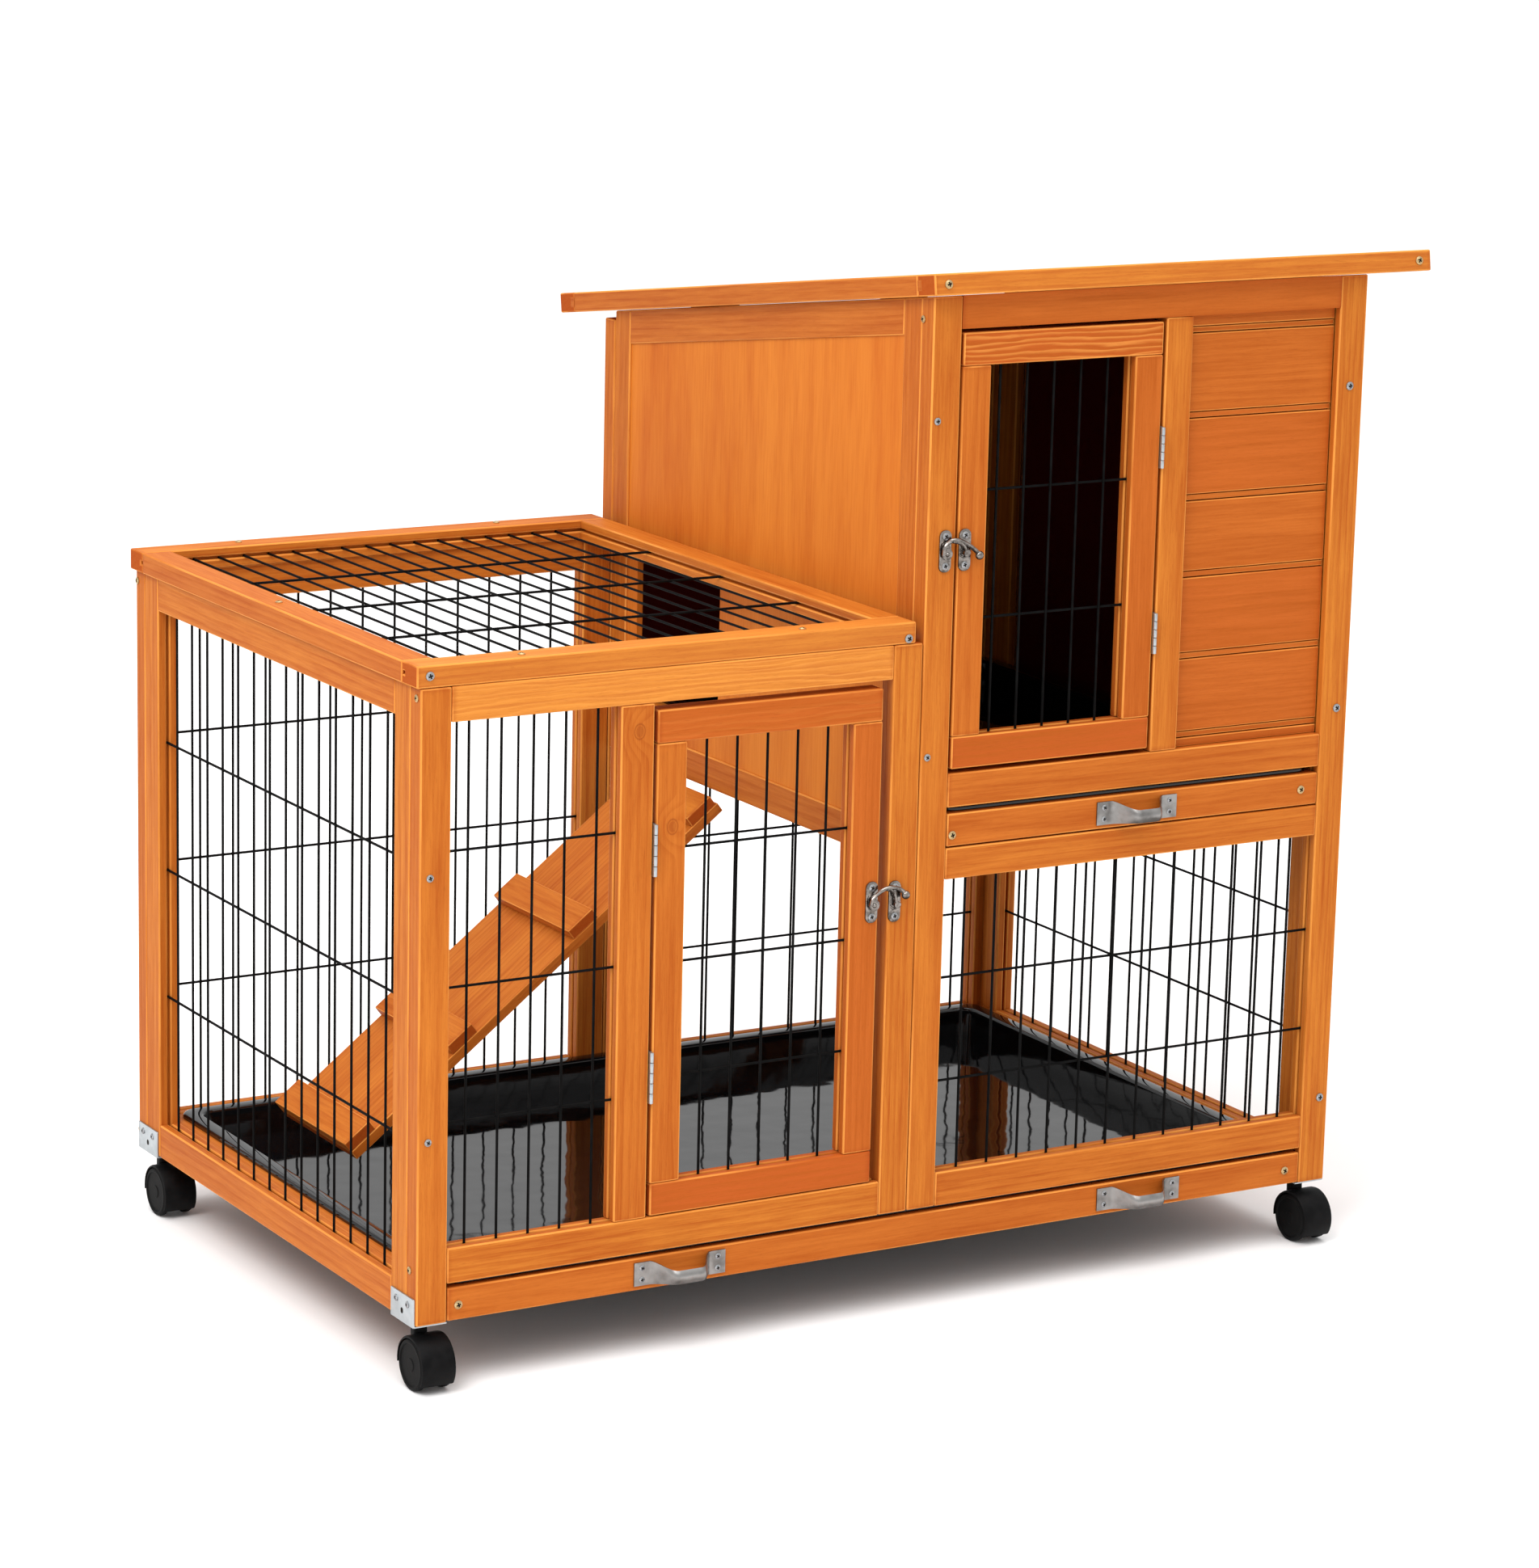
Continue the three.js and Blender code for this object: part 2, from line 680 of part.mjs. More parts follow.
add("lower_ledge", "fir", lowerLedge());
add("upper_ledge", "fir", upperLedge());
add("lower_tray", "tray", tray(lowerTrayX, lowerTrayRim, trayFloor));
add("upper_tray", "tray", tray(upperTrayX, upperTrayRim, upperTrayFloor));
add("lower_tray_front", "fir", box(drawerX.lower, frontY, drawerZ.lower));
add("upper_tray_front", "fir", box(drawerX.upper, frontY, drawerZ.upper));
add("ramp", "fir", ramp());
for (const { name, x, z, length } of handles) {
  add(name, "zinc", bowHandle(x, z, length));
}

const casters = [
  ["fl", 0, -1, casterInsetX, casterInsetY],
  ["fr", towerRight, 1, towerRight - casterInsetX, casterInsetY],
  ["bl", 0, -1, casterInsetX, bodyDeep - casterInsetY],
  ["br", towerRight, 1, towerRight - casterInsetX, bodyDeep - casterInsetY],
];
for (const [tag, sideX, outward, stemX, stemY] of casters) {
  add(`caster_bracket_${tag}`, "zinc", casterBracket(sideX, outward, stemY));
  add(`caster_hood_${tag}`, "caster", casterHood(stemX, stemY));
  add(`caster_wheels_${tag}`, "caster", casterWheels(stemX, stemY));
}

for (const [tag, latch] of Object.entries(latches)) {
  const plate = latchPlate(latch.plateX, latch.z, latch.plateTab, latch.pivotX, pivotPost);
  const keeper = latchPlate(latch.catchX, latch.z, latch.catchTab, latch.postX, catchPost);
  add(`${tag}_latch_plate`, "chrome", plate);
  add(`${tag}_latch_catch`, "chrome", keeper);
  add(`${tag}_latch_hook`, "chrome", latchHook(latch));
}
for (const hinge of doorHinges) {
  add(hinge.name, "zinc", doorHinge(hinge));
}
for (const [side, x] of Object.entries(roofHingeX)) {
  add(`roof_hinge_${side}`, "blackMetal", roofHinge(x));
}

// The origin sits under the middle of the whole object's box, on the floor.
const bounds = new THREE.Box3().setFromObject(group);
const shift = new THREE.Vector3();
bounds.getCenter(shift);
for (const mesh of group.children) {
  mesh.geometry.translate(-shift.x, -shift.y, -bounds.min.z);
}

export default group;
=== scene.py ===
import math
import random

import bmesh
import bpy
from mathutils import Matrix, Vector, geometry


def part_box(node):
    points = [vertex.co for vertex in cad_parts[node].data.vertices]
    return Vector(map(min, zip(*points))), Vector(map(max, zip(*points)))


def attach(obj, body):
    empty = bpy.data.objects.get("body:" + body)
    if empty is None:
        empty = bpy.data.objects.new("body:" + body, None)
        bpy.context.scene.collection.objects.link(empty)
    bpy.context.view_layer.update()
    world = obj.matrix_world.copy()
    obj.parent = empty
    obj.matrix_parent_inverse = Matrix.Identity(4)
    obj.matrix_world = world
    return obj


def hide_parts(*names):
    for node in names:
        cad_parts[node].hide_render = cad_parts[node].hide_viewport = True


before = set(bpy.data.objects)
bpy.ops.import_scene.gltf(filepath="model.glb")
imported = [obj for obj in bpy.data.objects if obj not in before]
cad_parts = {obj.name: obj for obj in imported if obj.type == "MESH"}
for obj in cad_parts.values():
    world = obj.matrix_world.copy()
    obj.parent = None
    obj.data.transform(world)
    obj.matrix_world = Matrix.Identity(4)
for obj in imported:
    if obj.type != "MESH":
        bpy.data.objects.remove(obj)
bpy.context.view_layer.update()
chance = random.Random(11)
runLow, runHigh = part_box("run_front_frame")
datum = Vector((runLow.x, runLow.y, 0.0))  # run's outer left face, front face, floor
mm = 0.001
print("frame loaded")


def linked(name, data):
    thing = bpy.data.objects.new(name, data)
    bpy.context.scene.collection.objects.link(thing)
    return thing


# camera
viewPlan = {
    "azimuth": -30.62, "elevation": 12.88, "roll": 1.363,
    "target": (-0.0022, -0.0410, 0.4320), "distance": 4.684, "lens": 115.97,
}


def placeCamera(plan):
    az, el, roll = (math.radians(plan[k]) for k in ("azimuth", "elevation", "roll"))
    back = Vector((math.sin(az) * math.cos(el), -math.cos(az) * math.cos(el), math.sin(el)))
    level = Vector((math.cos(az), math.sin(az), 0))
    upright = back.cross(level)
    right = level * math.cos(roll) + upright * math.sin(roll)
    top = upright * math.cos(roll) - level * math.sin(roll)
    lens = bpy.data.cameras.new("camera")
    lens.lens = plan["lens"]
    lens.sensor_width = 36
    lens.sensor_fit = "HORIZONTAL"
    lens.clip_end = 100
    cam = linked("camera", lens)
    turn = Matrix((right, top, back)).transposed().to_4x4()
    cam.matrix_world = Matrix.Translation(Vector(plan["target"]) + back * plan["distance"]) @ turn
    bpy.context.scene.camera = cam


placeCamera(viewPlan)
bpy.context.scene.view_settings.view_transform = "Standard"


# shader maths
class Field:
    def __init__(self, tree, socket):
        self.tree = tree
        self.socket = socket

    def maths(self, operation, *values):
        return addNode(self.tree, "ShaderNodeMath", {"operation": operation}, dict(enumerate(values)))

    def __add__(self, other):
        return self.maths("ADD", self, other)

    def __sub__(self, other):
        return self.maths("SUBTRACT", self, other)

    def __rsub__(self, other):
        return self.maths("SUBTRACT", other, self)

    def __mul__(self, other):
        return self.maths("MULTIPLY", self, other)

    def __truediv__(self, other):
        return self.maths("DIVIDE", self, other)

    def __pow__(self, other):
        return self.maths("POWER", self, other)

    __radd__ = __add__
    __rmul__ = __mul__

    def fract(self):
        return self.maths("FRACT", self)

    def __abs__(self):
        return self.maths("ABSOLUTE", self)

    def least(self, other):
        return self.maths("MINIMUM", self, other)

    def squared(self):
        return self * self

    def ramp(self, low, high):
        return addNode(self.tree, "ShaderNodeMapRange", {"interpolation_type": "SMOOTHSTEP"},
                       {0: self, 1: low, 2: high, 3: 0.0, 4: 1.0})


def addNode(tree, kind, settings, sockets, output=0):
    node = tree.nodes.new(kind)
    for key, value in settings.items():
        setattr(node, key, value)
    for key, value in sockets.items():
        socket = node.inputs[key]
        if isinstance(value, Field):
            tree.links.new(value.socket, socket)
        else:
            socket.default_value = value
    return Field(tree, node.outputs[output])


def attribute(tree, name, output=1):
    return addNode(tree, "ShaderNodeAttribute", {"attribute_name": name}, {}, output)


def objectPlace(tree):
    return addNode(tree, "ShaderNodeTexCoord", {}, {}, 3)


def objectNormal(tree):
    return addNode(tree, "ShaderNodeTexCoord", {}, {}, 1)


def part(vector, index):
    return addNode(vector.tree, "ShaderNodeSeparateXYZ", {}, {"Vector": vector}, index)


def mixColours(tree, factor, a, b, blend="MIX"):
    return addNode(tree, "ShaderNodeMix", {"data_type": "RGBA", "blend_type": blend},
                   {0: factor, 6: a, 7: b}, 2)


def noise(tree, vector, scale, detail=2.0, roughness=0.5):
    return addNode(tree, "ShaderNodeTexNoise", {},
                   {"Vector": vector, "Scale": scale, "Detail": detail, "Roughness": roughness})


def stretched(tree, vector, factors):
    return addNode(tree, "ShaderNodeVectorMath", {"operation": "MULTIPLY"}, {0: vector, 1: factors})


def startMaterial(name, **fixed):
    material = bpy.data.materials.new(name)
    material.use_nodes = True
    tree = material.node_tree
    surface = tree.nodes["Principled BSDF"]
    for key, value in fixed.items():
        surface.inputs[key.replace("_", " ")].default_value = value
    return material, tree, surface


def feed(tree, surface, **links):
    for key, value in links.items():
        tree.links.new(value.socket, surface.inputs[key.replace("_", " ")])


def bumped(tree, height, strength, distance):
    return addNode(tree, "ShaderNodeBump", {}, {"Strength": strength, "Distance": distance, "Height": height})


firPlan = {
    "pale": (0.60, 0.204, 0.026, 1), "deep": (0.395, 0.086, 0.009, 1), "red": (0.46, 0.083, 0.013, 1),
    "paleWearAndHighlight": (0.86, 0.36, 0.075, 1), "knot": (0.20, 0.030, 0.004, 1), "stain": (0.30, 0.040, 0.004, 1),
    "endGrain": (0.36, 0.060, 0.006, 1),
    "ringPitch": 0.0062, "figurePitch": 0.0029, "warp": 0.016, "knotSize": 0.0052, "shine": 0.40,
}


# stained fir: growth rings round a log axis, long fibres, knots, darker stain at the joints, edges lightened
# partly by wear and partly as a painted highlight
def firMaterial(name, place, tint, plan):
    material, tree, surface = startMaterial(name, Specular_IOR_Level=0.07)
    if place == "board":
        at = attribute(tree, "grainPlace")
    else:
        spin = {"x": (0, 0, 0), "y": (0, 0, -math.pi / 2), "z": (0, math.pi / 2, 0)}[place]
        at = addNode(tree, "ShaderNodeMapping", {}, {"Vector": objectPlace(tree), "Rotation": spin})
    drift = noise(tree, stretched(tree, at, (2.2, 14, 14)), 1.0, 3.0)
    sway = part(at, 1) + (drift - 0.5) * plan["warp"]
    radius = (sway.squared() + part(at, 2).squared()) ** 0.5
    if place == "board":
        near = attribute(tree, "knotPlace")
        span = (part(near, 0).squared() * 0.6 + part(near, 1).squared()) ** 0.5
        radius = radius + (1 - span.ramp(0.0, 0.024)) * 0.014
    ring = (radius / plan["ringPitch"] + noise(tree, stretched(tree, at, (5, 40, 40)), 1.0) * 0.7).fract()
    late = ring.ramp(0.30, 0.96) * (1 - ring.ramp(0.96, 1.0))
    fibre = noise(tree, stretched(tree, at, (22, 520, 520)), 1.0, 3.0, 0.62)
    pores = noise(tree, stretched(tree, at, (120, 2400, 2400)), 1.0, 1.0)
    patch = noise(tree, stretched(tree, at, (6, 30, 30)), 1.0, 3.0)
    streak = noise(tree, stretched(tree, at, (7, 150, 150)), 1.0, 2.0)
    depth = (late * 0.26 + fibre.ramp(0.32, 0.72) * 0.38 + patch.ramp(0.28, 0.74) * 0.36
             + streak.ramp(0.35, 0.7) * 0.24)
    base = mixColours(tree, depth, plan["pale"], plan["deep"])
    redder = mixColours(tree, depth, plan["red"], plan["deep"])
    shine = plan["shine"] + fibre * 0.16 + late * 0.05
    if place == "board":
        along = attribute(tree, "boardAlong")
        across = attribute(tree, "boardAcross")
        edge = attribute(tree, "boardEdge", 2)
        cutEnd = attribute(tree, "boardEnd", 2)
        base = mixColours(tree, part(along, 2), base, redder)
        base = mixColours(tree, 0 - part(along, 2), base, plan["paleWearAndHighlight"])
        figure = (radius / plan["figurePitch"] + streak * 0.9 + patch * 5).fract()
        figure = figure.ramp(0.35, 0.85) * (1 - figure.ramp(0.88, 1.0)) * part(across, 2)
        figure = figure * (0.5 + patch.ramp(0.3, 0.7) * 0.6)
        base = mixColours(tree, figure, base, plan["paleWearAndHighlight"])
        loose = patch * 0.006
        fromEnd = part(along, 0).least(part(along, 1)) + loose
        fromSide = part(across, 0).least(part(across, 1)) + loose * 0.5
        base = mixColours(tree, (1 - fromEnd.ramp(0.0022, 0.0090)) * 0.45, base, plan["stain"])
        base = mixColours(tree, (1 - fromSide.ramp(0.0010, 0.0042)) * 0.16, base, plan["stain"])
        heart = 1 - (span + fibre * 0.0015).ramp(plan["knotSize"] * 0.75, plan["knotSize"])
        rim = 1 - abs(span - plan["knotSize"]).ramp(0.0, 0.0011)
        base = mixColours(tree, heart * 0.34 + rim * 0.50, base, plan["knot"])
        base = mixColours(tree, cutEnd * 0.75, base, plan["endGrain"])
        # bevel faces lightened toward the pale colour: partly wear, partly a painted highlight along the
        # rounded edges
        base = mixColours(tree, edge * patch.ramp(0.25, 0.6) * 0.62, base, plan["paleWearAndHighlight"])
        shine = shine + cutEnd * 0.25
    else:
        base = mixColours(tree, tint, base, redder)
    base = mixColours(tree, pores.ramp(0.58, 0.8) * 0.30, base, plan["knot"])
    grain = bumped(tree, fibre * 0.6 + late * 0.35 + pores * 0.4, 0.25, 0.0006)
    feed(tree, surface, Base_Color=base, Roughness=shine, Normal=grain)
    return material


plyPlan = {
    "pale": (0.66, 0.205, 0.024, 1), "deep": (0.50, 0.112, 0.010, 1), "streak": (0.34, 0.058, 0.006, 1),
    "paintedInsideShade": (0.065, 0.002, 0.001, 1),
}


# rotary-cut veneer: cloudy stain with long wandering streaks; the face turned to the inside gets a near-black
# painted shade
def plyMaterial(name, axis, inward, plan):
    material, tree, surface = startMaterial(name, Specular_IOR_Level=0.07)
    whole = objectPlace(tree)
    turned = objectNormal(tree)
    along = {"x": (1.2, 9, 9), "y": (9, 1.2, 9), "z": (9, 9, 1.2)}[axis]
    fine = {"x": (18, 420, 420), "y": (420, 18, 420), "z": (420, 420, 18)}[axis]
    cloud = noise(tree, stretched(tree, whole, along), 1.0, 3.0)
    stripe = noise(tree, stretched(tree, whole, tuple(6 * v for v in along)), 1.0, 4.0, 0.65)
    fibre = noise(tree, stretched(tree, whole, fine), 1.0, 3.0, 0.6)
    depth = cloud.ramp(0.3, 0.7) * 0.5 + stripe.ramp(0.40, 0.62) * 0.26 + fibre.ramp(0.4, 0.7) * 0.22
    base = mixColours(tree, depth, plan["pale"], plan["deep"])
    base = mixColours(tree, stripe.ramp(0.60, 0.78) * cloud.ramp(0.4, 0.7) * 0.5, base, plan["streak"])
    # faces turned inward are painted near-black as painted shade for the dark interior
    inner = addNode(tree, "ShaderNodeVectorMath", {"operation": "DOT_PRODUCT"}, {0: turned, 1: inward}, 1)
    base = mixColours(tree, inner.ramp(0.4, 0.6), base, plan["paintedInsideShade"])
    grain = bumped(tree, fibre, 0.2, 0.0004)
    feed(tree, surface, Base_Color=base, Roughness=fibre * 0.2 + 0.42, Normal=grain)
    return material


# bare metal: spangled and scuffed; the dark mottling is partly spangle and partly painted reflection, and the
# darkening where it faces down is painted shade
def metalMaterial(name, plan):
    material, tree, surface = startMaterial(name, Metallic=1.0)
    whole = objectPlace(tree)
    turned = objectNormal(tree)
    spangle = noise(tree, whole, plan["grain"], 3.0)
    cloud = noise(tree, whole, plan["grain"] * 0.4, 2.0)
    scuff = noise(tree, stretched(tree, whole, (300, 2200, 300)), 1.0, 2.0)
    # surfaces facing down are darkened as painted shade
    shade = (0 - part(turned, 2)).ramp(-0.25, 0.55)
    mottleAndShade = spangle.ramp(0.35, 0.7) * 0.22 + cloud.ramp(0.4, 0.64) * 0.3 + shade * 0.65
    base = mixColours(tree, mottleAndShade.ramp(0.0, 1.0), plan["colour"], plan["dark"])
    rough = plan["rough"] + spangle * plan["spread"] + scuff * plan["spread"]
    grain = bumped(tree, spangle + scuff * 0.5, 0.15, plan["depth"])
    feed(tree, surface, Base_Color=base, Roughness=rough, Normal=grain)
    return material


# black paint, rubber and nylon: fine skin texture under a little dust
def coatedMaterial(name, plan):
    material, tree, surface = startMaterial(name, Specular_IOR_Level=plan["gloss"])
    whole = objectPlace(tree)
    skin = noise(tree, whole, plan["grain"], 2.0)
    dust = noise(tree, whole, plan["grain"] * 0.07, 4.0)
    dusty = tuple(c * 1.9 + 0.004 for c in plan["colour"][:3]) + (1,)
    base = mixColours(tree, dust.ramp(0.35, 0.75) * 0.5, plan["colour"], dusty)
    rough = plan["rough"] + dust * plan["spread"]
    feed(tree, surface, Base_Color=base, Roughness=rough, Normal=bumped(tree, skin, 0.3, plan["depth"]))
    return material


trayPlan = {"colour": (0.003, 0.003, 0.0035, 1), "rough": 0.035, "waveScale": 22.0, "waveDepth": 0.0011}


# glossy moulded sheet: mirror-like, slightly wavy
def trayMaterial(name, plan):
    material, tree, surface = startMaterial(name, IOR=1.52)
    whole = objectPlace(tree)
    wave = noise(tree, whole, plan["waveScale"], 1.5)
    dust = noise(tree, whole, 260.0, 3.0)
    base = mixColours(tree, dust.ramp(0.5, 0.8) * 0.4, plan["colour"], (0.012, 0.012, 0.013, 1))
    feed(tree, surface, Base_Color=base, Roughness=dust * 0.03 + plan["rough"],
         Normal=bumped(tree, wave, 0.5, plan["waveDepth"]))
    return material


metalPlan = {"rough": 0.28, "spread": 0.10, "grain": 900, "depth": 0.0002}
coatPlan = {"rough": 0.5, "spread": 0.2, "grain": 900, "depth": 0.0003, "gloss": 0.09}
finish = {
    "board": firMaterial("stainedFirBoard", "board", 0, firPlan),
    "firY": firMaterial("stainedFirAlongY", "y", 0.2, firPlan),
    "plyLeft": plyMaterial("stainedPlyLeft", "z", (1, 0, 0), plyPlan),
    "plyRight": plyMaterial("stainedPlyRight", "z", (-1, 0, 0), plyPlan),
    "plyBack": plyMaterial("stainedPlyBack", "z", (0, -1, 0), plyPlan),
    "plyRoof": plyMaterial("stainedPlyRoof", "y", (0, 0, -1), plyPlan),
    "wire": coatedMaterial("blackCoatedWire", coatPlan | {"colour": (0.003, 0.003, 0.003, 1), "gloss": 0.04}),
    "tray": trayMaterial("glossyBlackTray", trayPlan),
    "zinc": metalMaterial("zincPlate", metalPlan | {
        "colour": (0.50, 0.54, 0.56, 1), "dark": (0.40, 0.44, 0.46, 1), "rough": 0.34, "grain": 140,
    }),
    "handle": metalMaterial("nickelStrip", metalPlan | {
        "colour": (0.33, 0.32, 0.31, 1), "dark": (0.08, 0.075, 0.07, 1), "rough": 0.24, "grain": 110,
        "depth": 0.0001,
    }),
    "chrome": metalMaterial("brightPlate", {
        "colour": (0.33, 0.30, 0.275, 1), "dark": (0.025, 0.02, 0.016, 1), "rough": 0.16, "spread": 0.06,
        "grain": 420, "depth": 0.0001,
    }),
    "screw": metalMaterial("zincScrew", metalPlan | {
        "colour": (0.44, 0.45, 0.46, 1), "dark": (0.24, 0.24, 0.25, 1),
    }),
    "yellowScrew": metalMaterial("yellowZincScrew", metalPlan | {
        "colour": (0.64, 0.48, 0.25, 1), "dark": (0.42, 0.28, 0.13, 1),
    }),
    # near-black fill for screw recesses and the bracket hole: painted shade
    "recess": coatedMaterial("paintedRecessShade", coatPlan | {
        "colour": (0.010, 0.007, 0.005, 1), "rough": 0.6, "depth": 0.0002, "gloss": 0.1,
    }),
    "blackMetal": coatedMaterial("blackHinge", coatPlan | {
        "colour": (0.02, 0.02, 0.02, 1), "rough": 0.35, "grain": 700, "gloss": 0.3,
    }),
    "caster": coatedMaterial("blackNylon", coatPlan | {
        "colour": (0.0022, 0.0022, 0.0024, 1), "rough": 0.42, "spread": 0.18, "grain": 1200,
    }),
    "tread": coatedMaterial("blackTread", coatPlan | {
        "colour": (0.003, 0.003, 0.003, 1), "grain": 1500, "depth": 0.0004,
    }),
}
print("finishes made")


def at(x, y, z):
    return datum + Vector((x, y, z)) * mm


def newPiece(name, bm, material, body, stands=()):
    bmesh.ops.recalc_face_normals(bm, faces=bm.faces)
    mesh = bpy.data.meshes.new(name)
    bm.to_mesh(mesh)
    bm.free()
    mesh.materials.append(material)
    piece = linked(name, mesh)
    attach(piece, body)
    if stands:
        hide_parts(*stands)
    return piece


def madeVerts(result):
    return [v for v in result["geom"] if isinstance(v, bmesh.types.BMVert)]


def openEdges(bm):
    return [e for e in bm.edges if e.is_boundary]


def turnUp(bm):
    bmesh.ops.recalc_face_normals(bm, faces=bm.faces)
    if max(bm.faces, key=lambda f: f.calc_area()).normal.z < 0:
        bmesh.ops.reverse_faces(bm, faces=bm.faces)


def easeEdges(bm, edges, offset, segments, clamp=False):
    bmesh.ops.bevel(bm, geom=edges, offset=offset, segments=segments, profile=0.5, affect="EDGES",
                    material=-1, clamp_overlap=clamp)


def roundedGrid(bm, wide, tall, corner):
    bmesh.ops.create_grid(bm, x_segments=1, y_segments=1, size=0.5)
    bmesh.ops.scale(bm, vec=(wide, tall, 1), verts=bm.verts)
    bmesh.ops.bevel(bm, geom=bm.verts[:], offset=corner, segments=6, profile=0.5, affect="VERTICES",
                    material=-1)


def smooth(piece, angle=40):
    for face in piece.data.polygons:
        face.use_smooth = True
    piece.data.set_sharp_from_angle(angle=math.radians(angle))
    return piece


# a drawn shape that takes over from the CAD node it is named after
def shaped(node, bm, material, body, angle=35):
    return smooth(newPiece(node + "_shaped", bm, finish[material], body, [node]), angle)


boardPlan = {"round": 1.4, "grooveWide": 3.0, "grooveDeep": 5.0, "joint": 0.22}
axes = {"x": Vector((1, 0, 0)), "y": Vector((0, 1, 0)), "z": Vector((0, 0, 1))}


# A board is drawn as its cross section, grooved where wires seat, and drawn out along its length.
def drawBoard(name, corner, frameAxes, size, body, stands=(), grooves="", tint=0.2, cuts=(), rounding=None,
              knot=None, figure=0.0):
    length, wide, thick = size
    half = boardPlan["grooveWide"] / 2
    deep = boardPlan["grooveDeep"]
    middle = thick / 2
    outline = [(0, 0)]
    if "low" in grooves:
        outline += [(0, middle - half), (deep, middle - half), (deep, middle + half), (0, middle + half)]
    outline += [(0, thick), (wide, thick)]
    if "high" in grooves:
        outline += [(wide, middle + half), (wide - deep, middle + half),
                    (wide - deep, middle - half), (wide, middle - half)]
    outline += [(wide, 0)]
    bm = bmesh.new()
    ring = [bm.verts.new((boardPlan["joint"], a, b)) for a, b in outline]
    face = bm.faces.new(ring)
    drawn = bmesh.ops.extrude_face_region(bm, geom=[face], use_keep_orig=True)
    bmesh.ops.translate(bm, verts=madeVerts(drawn), vec=(length - 2 * boardPlan["joint"], 0, 0))
    for point, normal in cuts:
        cut = bmesh.ops.bisect_plane(bm, geom=bm.verts[:] + bm.edges[:] + bm.faces[:], plane_co=point,
                                     plane_no=normal, clear_outer=True)
        rim = [e for e in cut["geom_cut"] if isinstance(e, bmesh.types.BMEdge)]
        bmesh.ops.holes_fill(bm, edges=rim, sides=0)
    bmesh.ops.recalc_face_normals(bm, faces=bm.faces)
    sharp = [e for e in bm.edges if len(e.link_faces) == 2 and e.calc_face_angle_signed() > 0.6]
    flats = bm.faces.layers.float.new("boardEnd")
    edges = bm.faces.layers.float.new("boardEdge")
    easeEdges(bm, sharp, boardPlan["round"] if rounding is None else rounding, 2, True)
    bm.normal_update()
    for face in bm.faces:
        slanted = max(abs(c) for c in face.normal) < 0.97
        face[edges] = float(slanted)
        face[flats] = float(abs(face.normal.x) > 0.9)
    place = bm.verts.layers.float_vector.new("grainPlace")
    knotPlace = bm.verts.layers.float_vector.new("knotPlace")
    along = bm.verts.layers.float_vector.new("boardAlong")
    across = bm.verts.layers.float_vector.new("boardAcross")
    log = Vector((chance.uniform(0, 3), chance.uniform(-0.05, 0.05), chance.uniform(0.012, 0.07)))
    lean = min(1.0, tint + chance.uniform(-0.12, 0.12))
    eye = Vector((knot[0], knot[1], 0)) if knot else Vector((-900, -900, 0))
    for v in bm.verts:
        v[place] = v.co * mm + log
        v[knotPlace] = (v.co - eye) * mm
        v[along] = (v.co.x * mm, (length - v.co.x) * mm, lean)
        v[across] = (v.co.y * mm, (wide - v.co.y) * mm, figure)
    move = Matrix([(a * mm).to_tuple() for a in frameAxes]).transposed().to_4x4()
    move.translation = corner
    bmesh.ops.transform(bm, matrix=move, verts=bm.verts)
    return newPiece(name, bm, finish["board"], body, stands)


# A straight board given by its spans in millimetres from the datum.
def board(name, x, y, z, along, flat, body="hutch", **extra):
    spans = {"x": x, "y": y, "z": z}
    across = ({"x", "y", "z"} - {along, flat}).pop()
    size = tuple(spans[k][1] - spans[k][0] for k in (along, across, flat))
    corner = at(x[0], y[0], z[0])
    return drawBoard(name, corner, (axes[along], axes[across], axes[flat]), size, body, **extra)


front = (0, 20)
back = (580, 600)
left = (0, 20)
right = (947.5, 967.5)
wall = (497, 517)
lidZ = (622.3, 641.7)

# the run's fixed frames
board("run_post_left", (0, 29), front, (60, 622), "z", "y", grooves="high", stands=["run_front_frame"],
      tint=0.25)
board("run_jamb", (192, 224.5), front, (127, 591), "z", "y", grooves="low", tint=0.3, knot=(440, 18))
board("run_stile_right", (466, 495.5), front, (95, 622), "z", "y", tint=0.12)
board("run_rail_top", (29, 466), front, (591, 622), "x", "y", grooves="low", tint=-0.1, figure=0.4)
board("run_rail_bottom", (29, 466), front, (95, 127), "x", "y", grooves="high", tint=0.05)
board("run_side_stile_front", left, (20.3, 50), (60, 622), "z", "x", grooves="high",
      stands=["run_side_frame"], tint=0.15)
board("run_side_stile_back", left, (550, 579.7), (60, 622), "z", "x", grooves="low", tint=0.2)
board("run_side_rail_top", left, (50, 550), (591, 622), "y", "x", grooves="low", tint=0.15)
board("run_side_rail_bottom", left, (50, 550), (60, 92), "y", "x", grooves="high", tint=0.35)
board("run_back_stile_left", (0, 29), back, (60, 622), "z", "y", grooves="high",
      stands=["run_back_frame"])
board("run_back_stile_right", (466, 495.5), back, (60, 622), "z", "y", grooves="low")
board("run_back_rail_top", (29, 466), back, (591, 622), "x", "y", grooves="low")
board("run_back_rail_bottom", (29, 466), back, (60, 92), "x", "y", grooves="high")
board("lid_rail_front", (-4, 488), (0, 29), lidZ, "x", "z", grooves="high", stands=["lid_frame"],
      tint=-0.15)
board("lid_rail_back", (-4, 488), (576, 605), lidZ, "x", "z", grooves="low", tint=0.1)
board("lid_rail_left", (-4, 25), (29, 576), lidZ, "y", "z", grooves="high", tint=0.2)
board("lid_rail_right", (459, 488), (29, 576), lidZ, "y", "z", grooves="low", tint=0.2)

# run door
runDoor = {"x": (228, 456), "z": (128, 584), "rail": 29.5, "knot": (322, 16), "figure": 0.1}


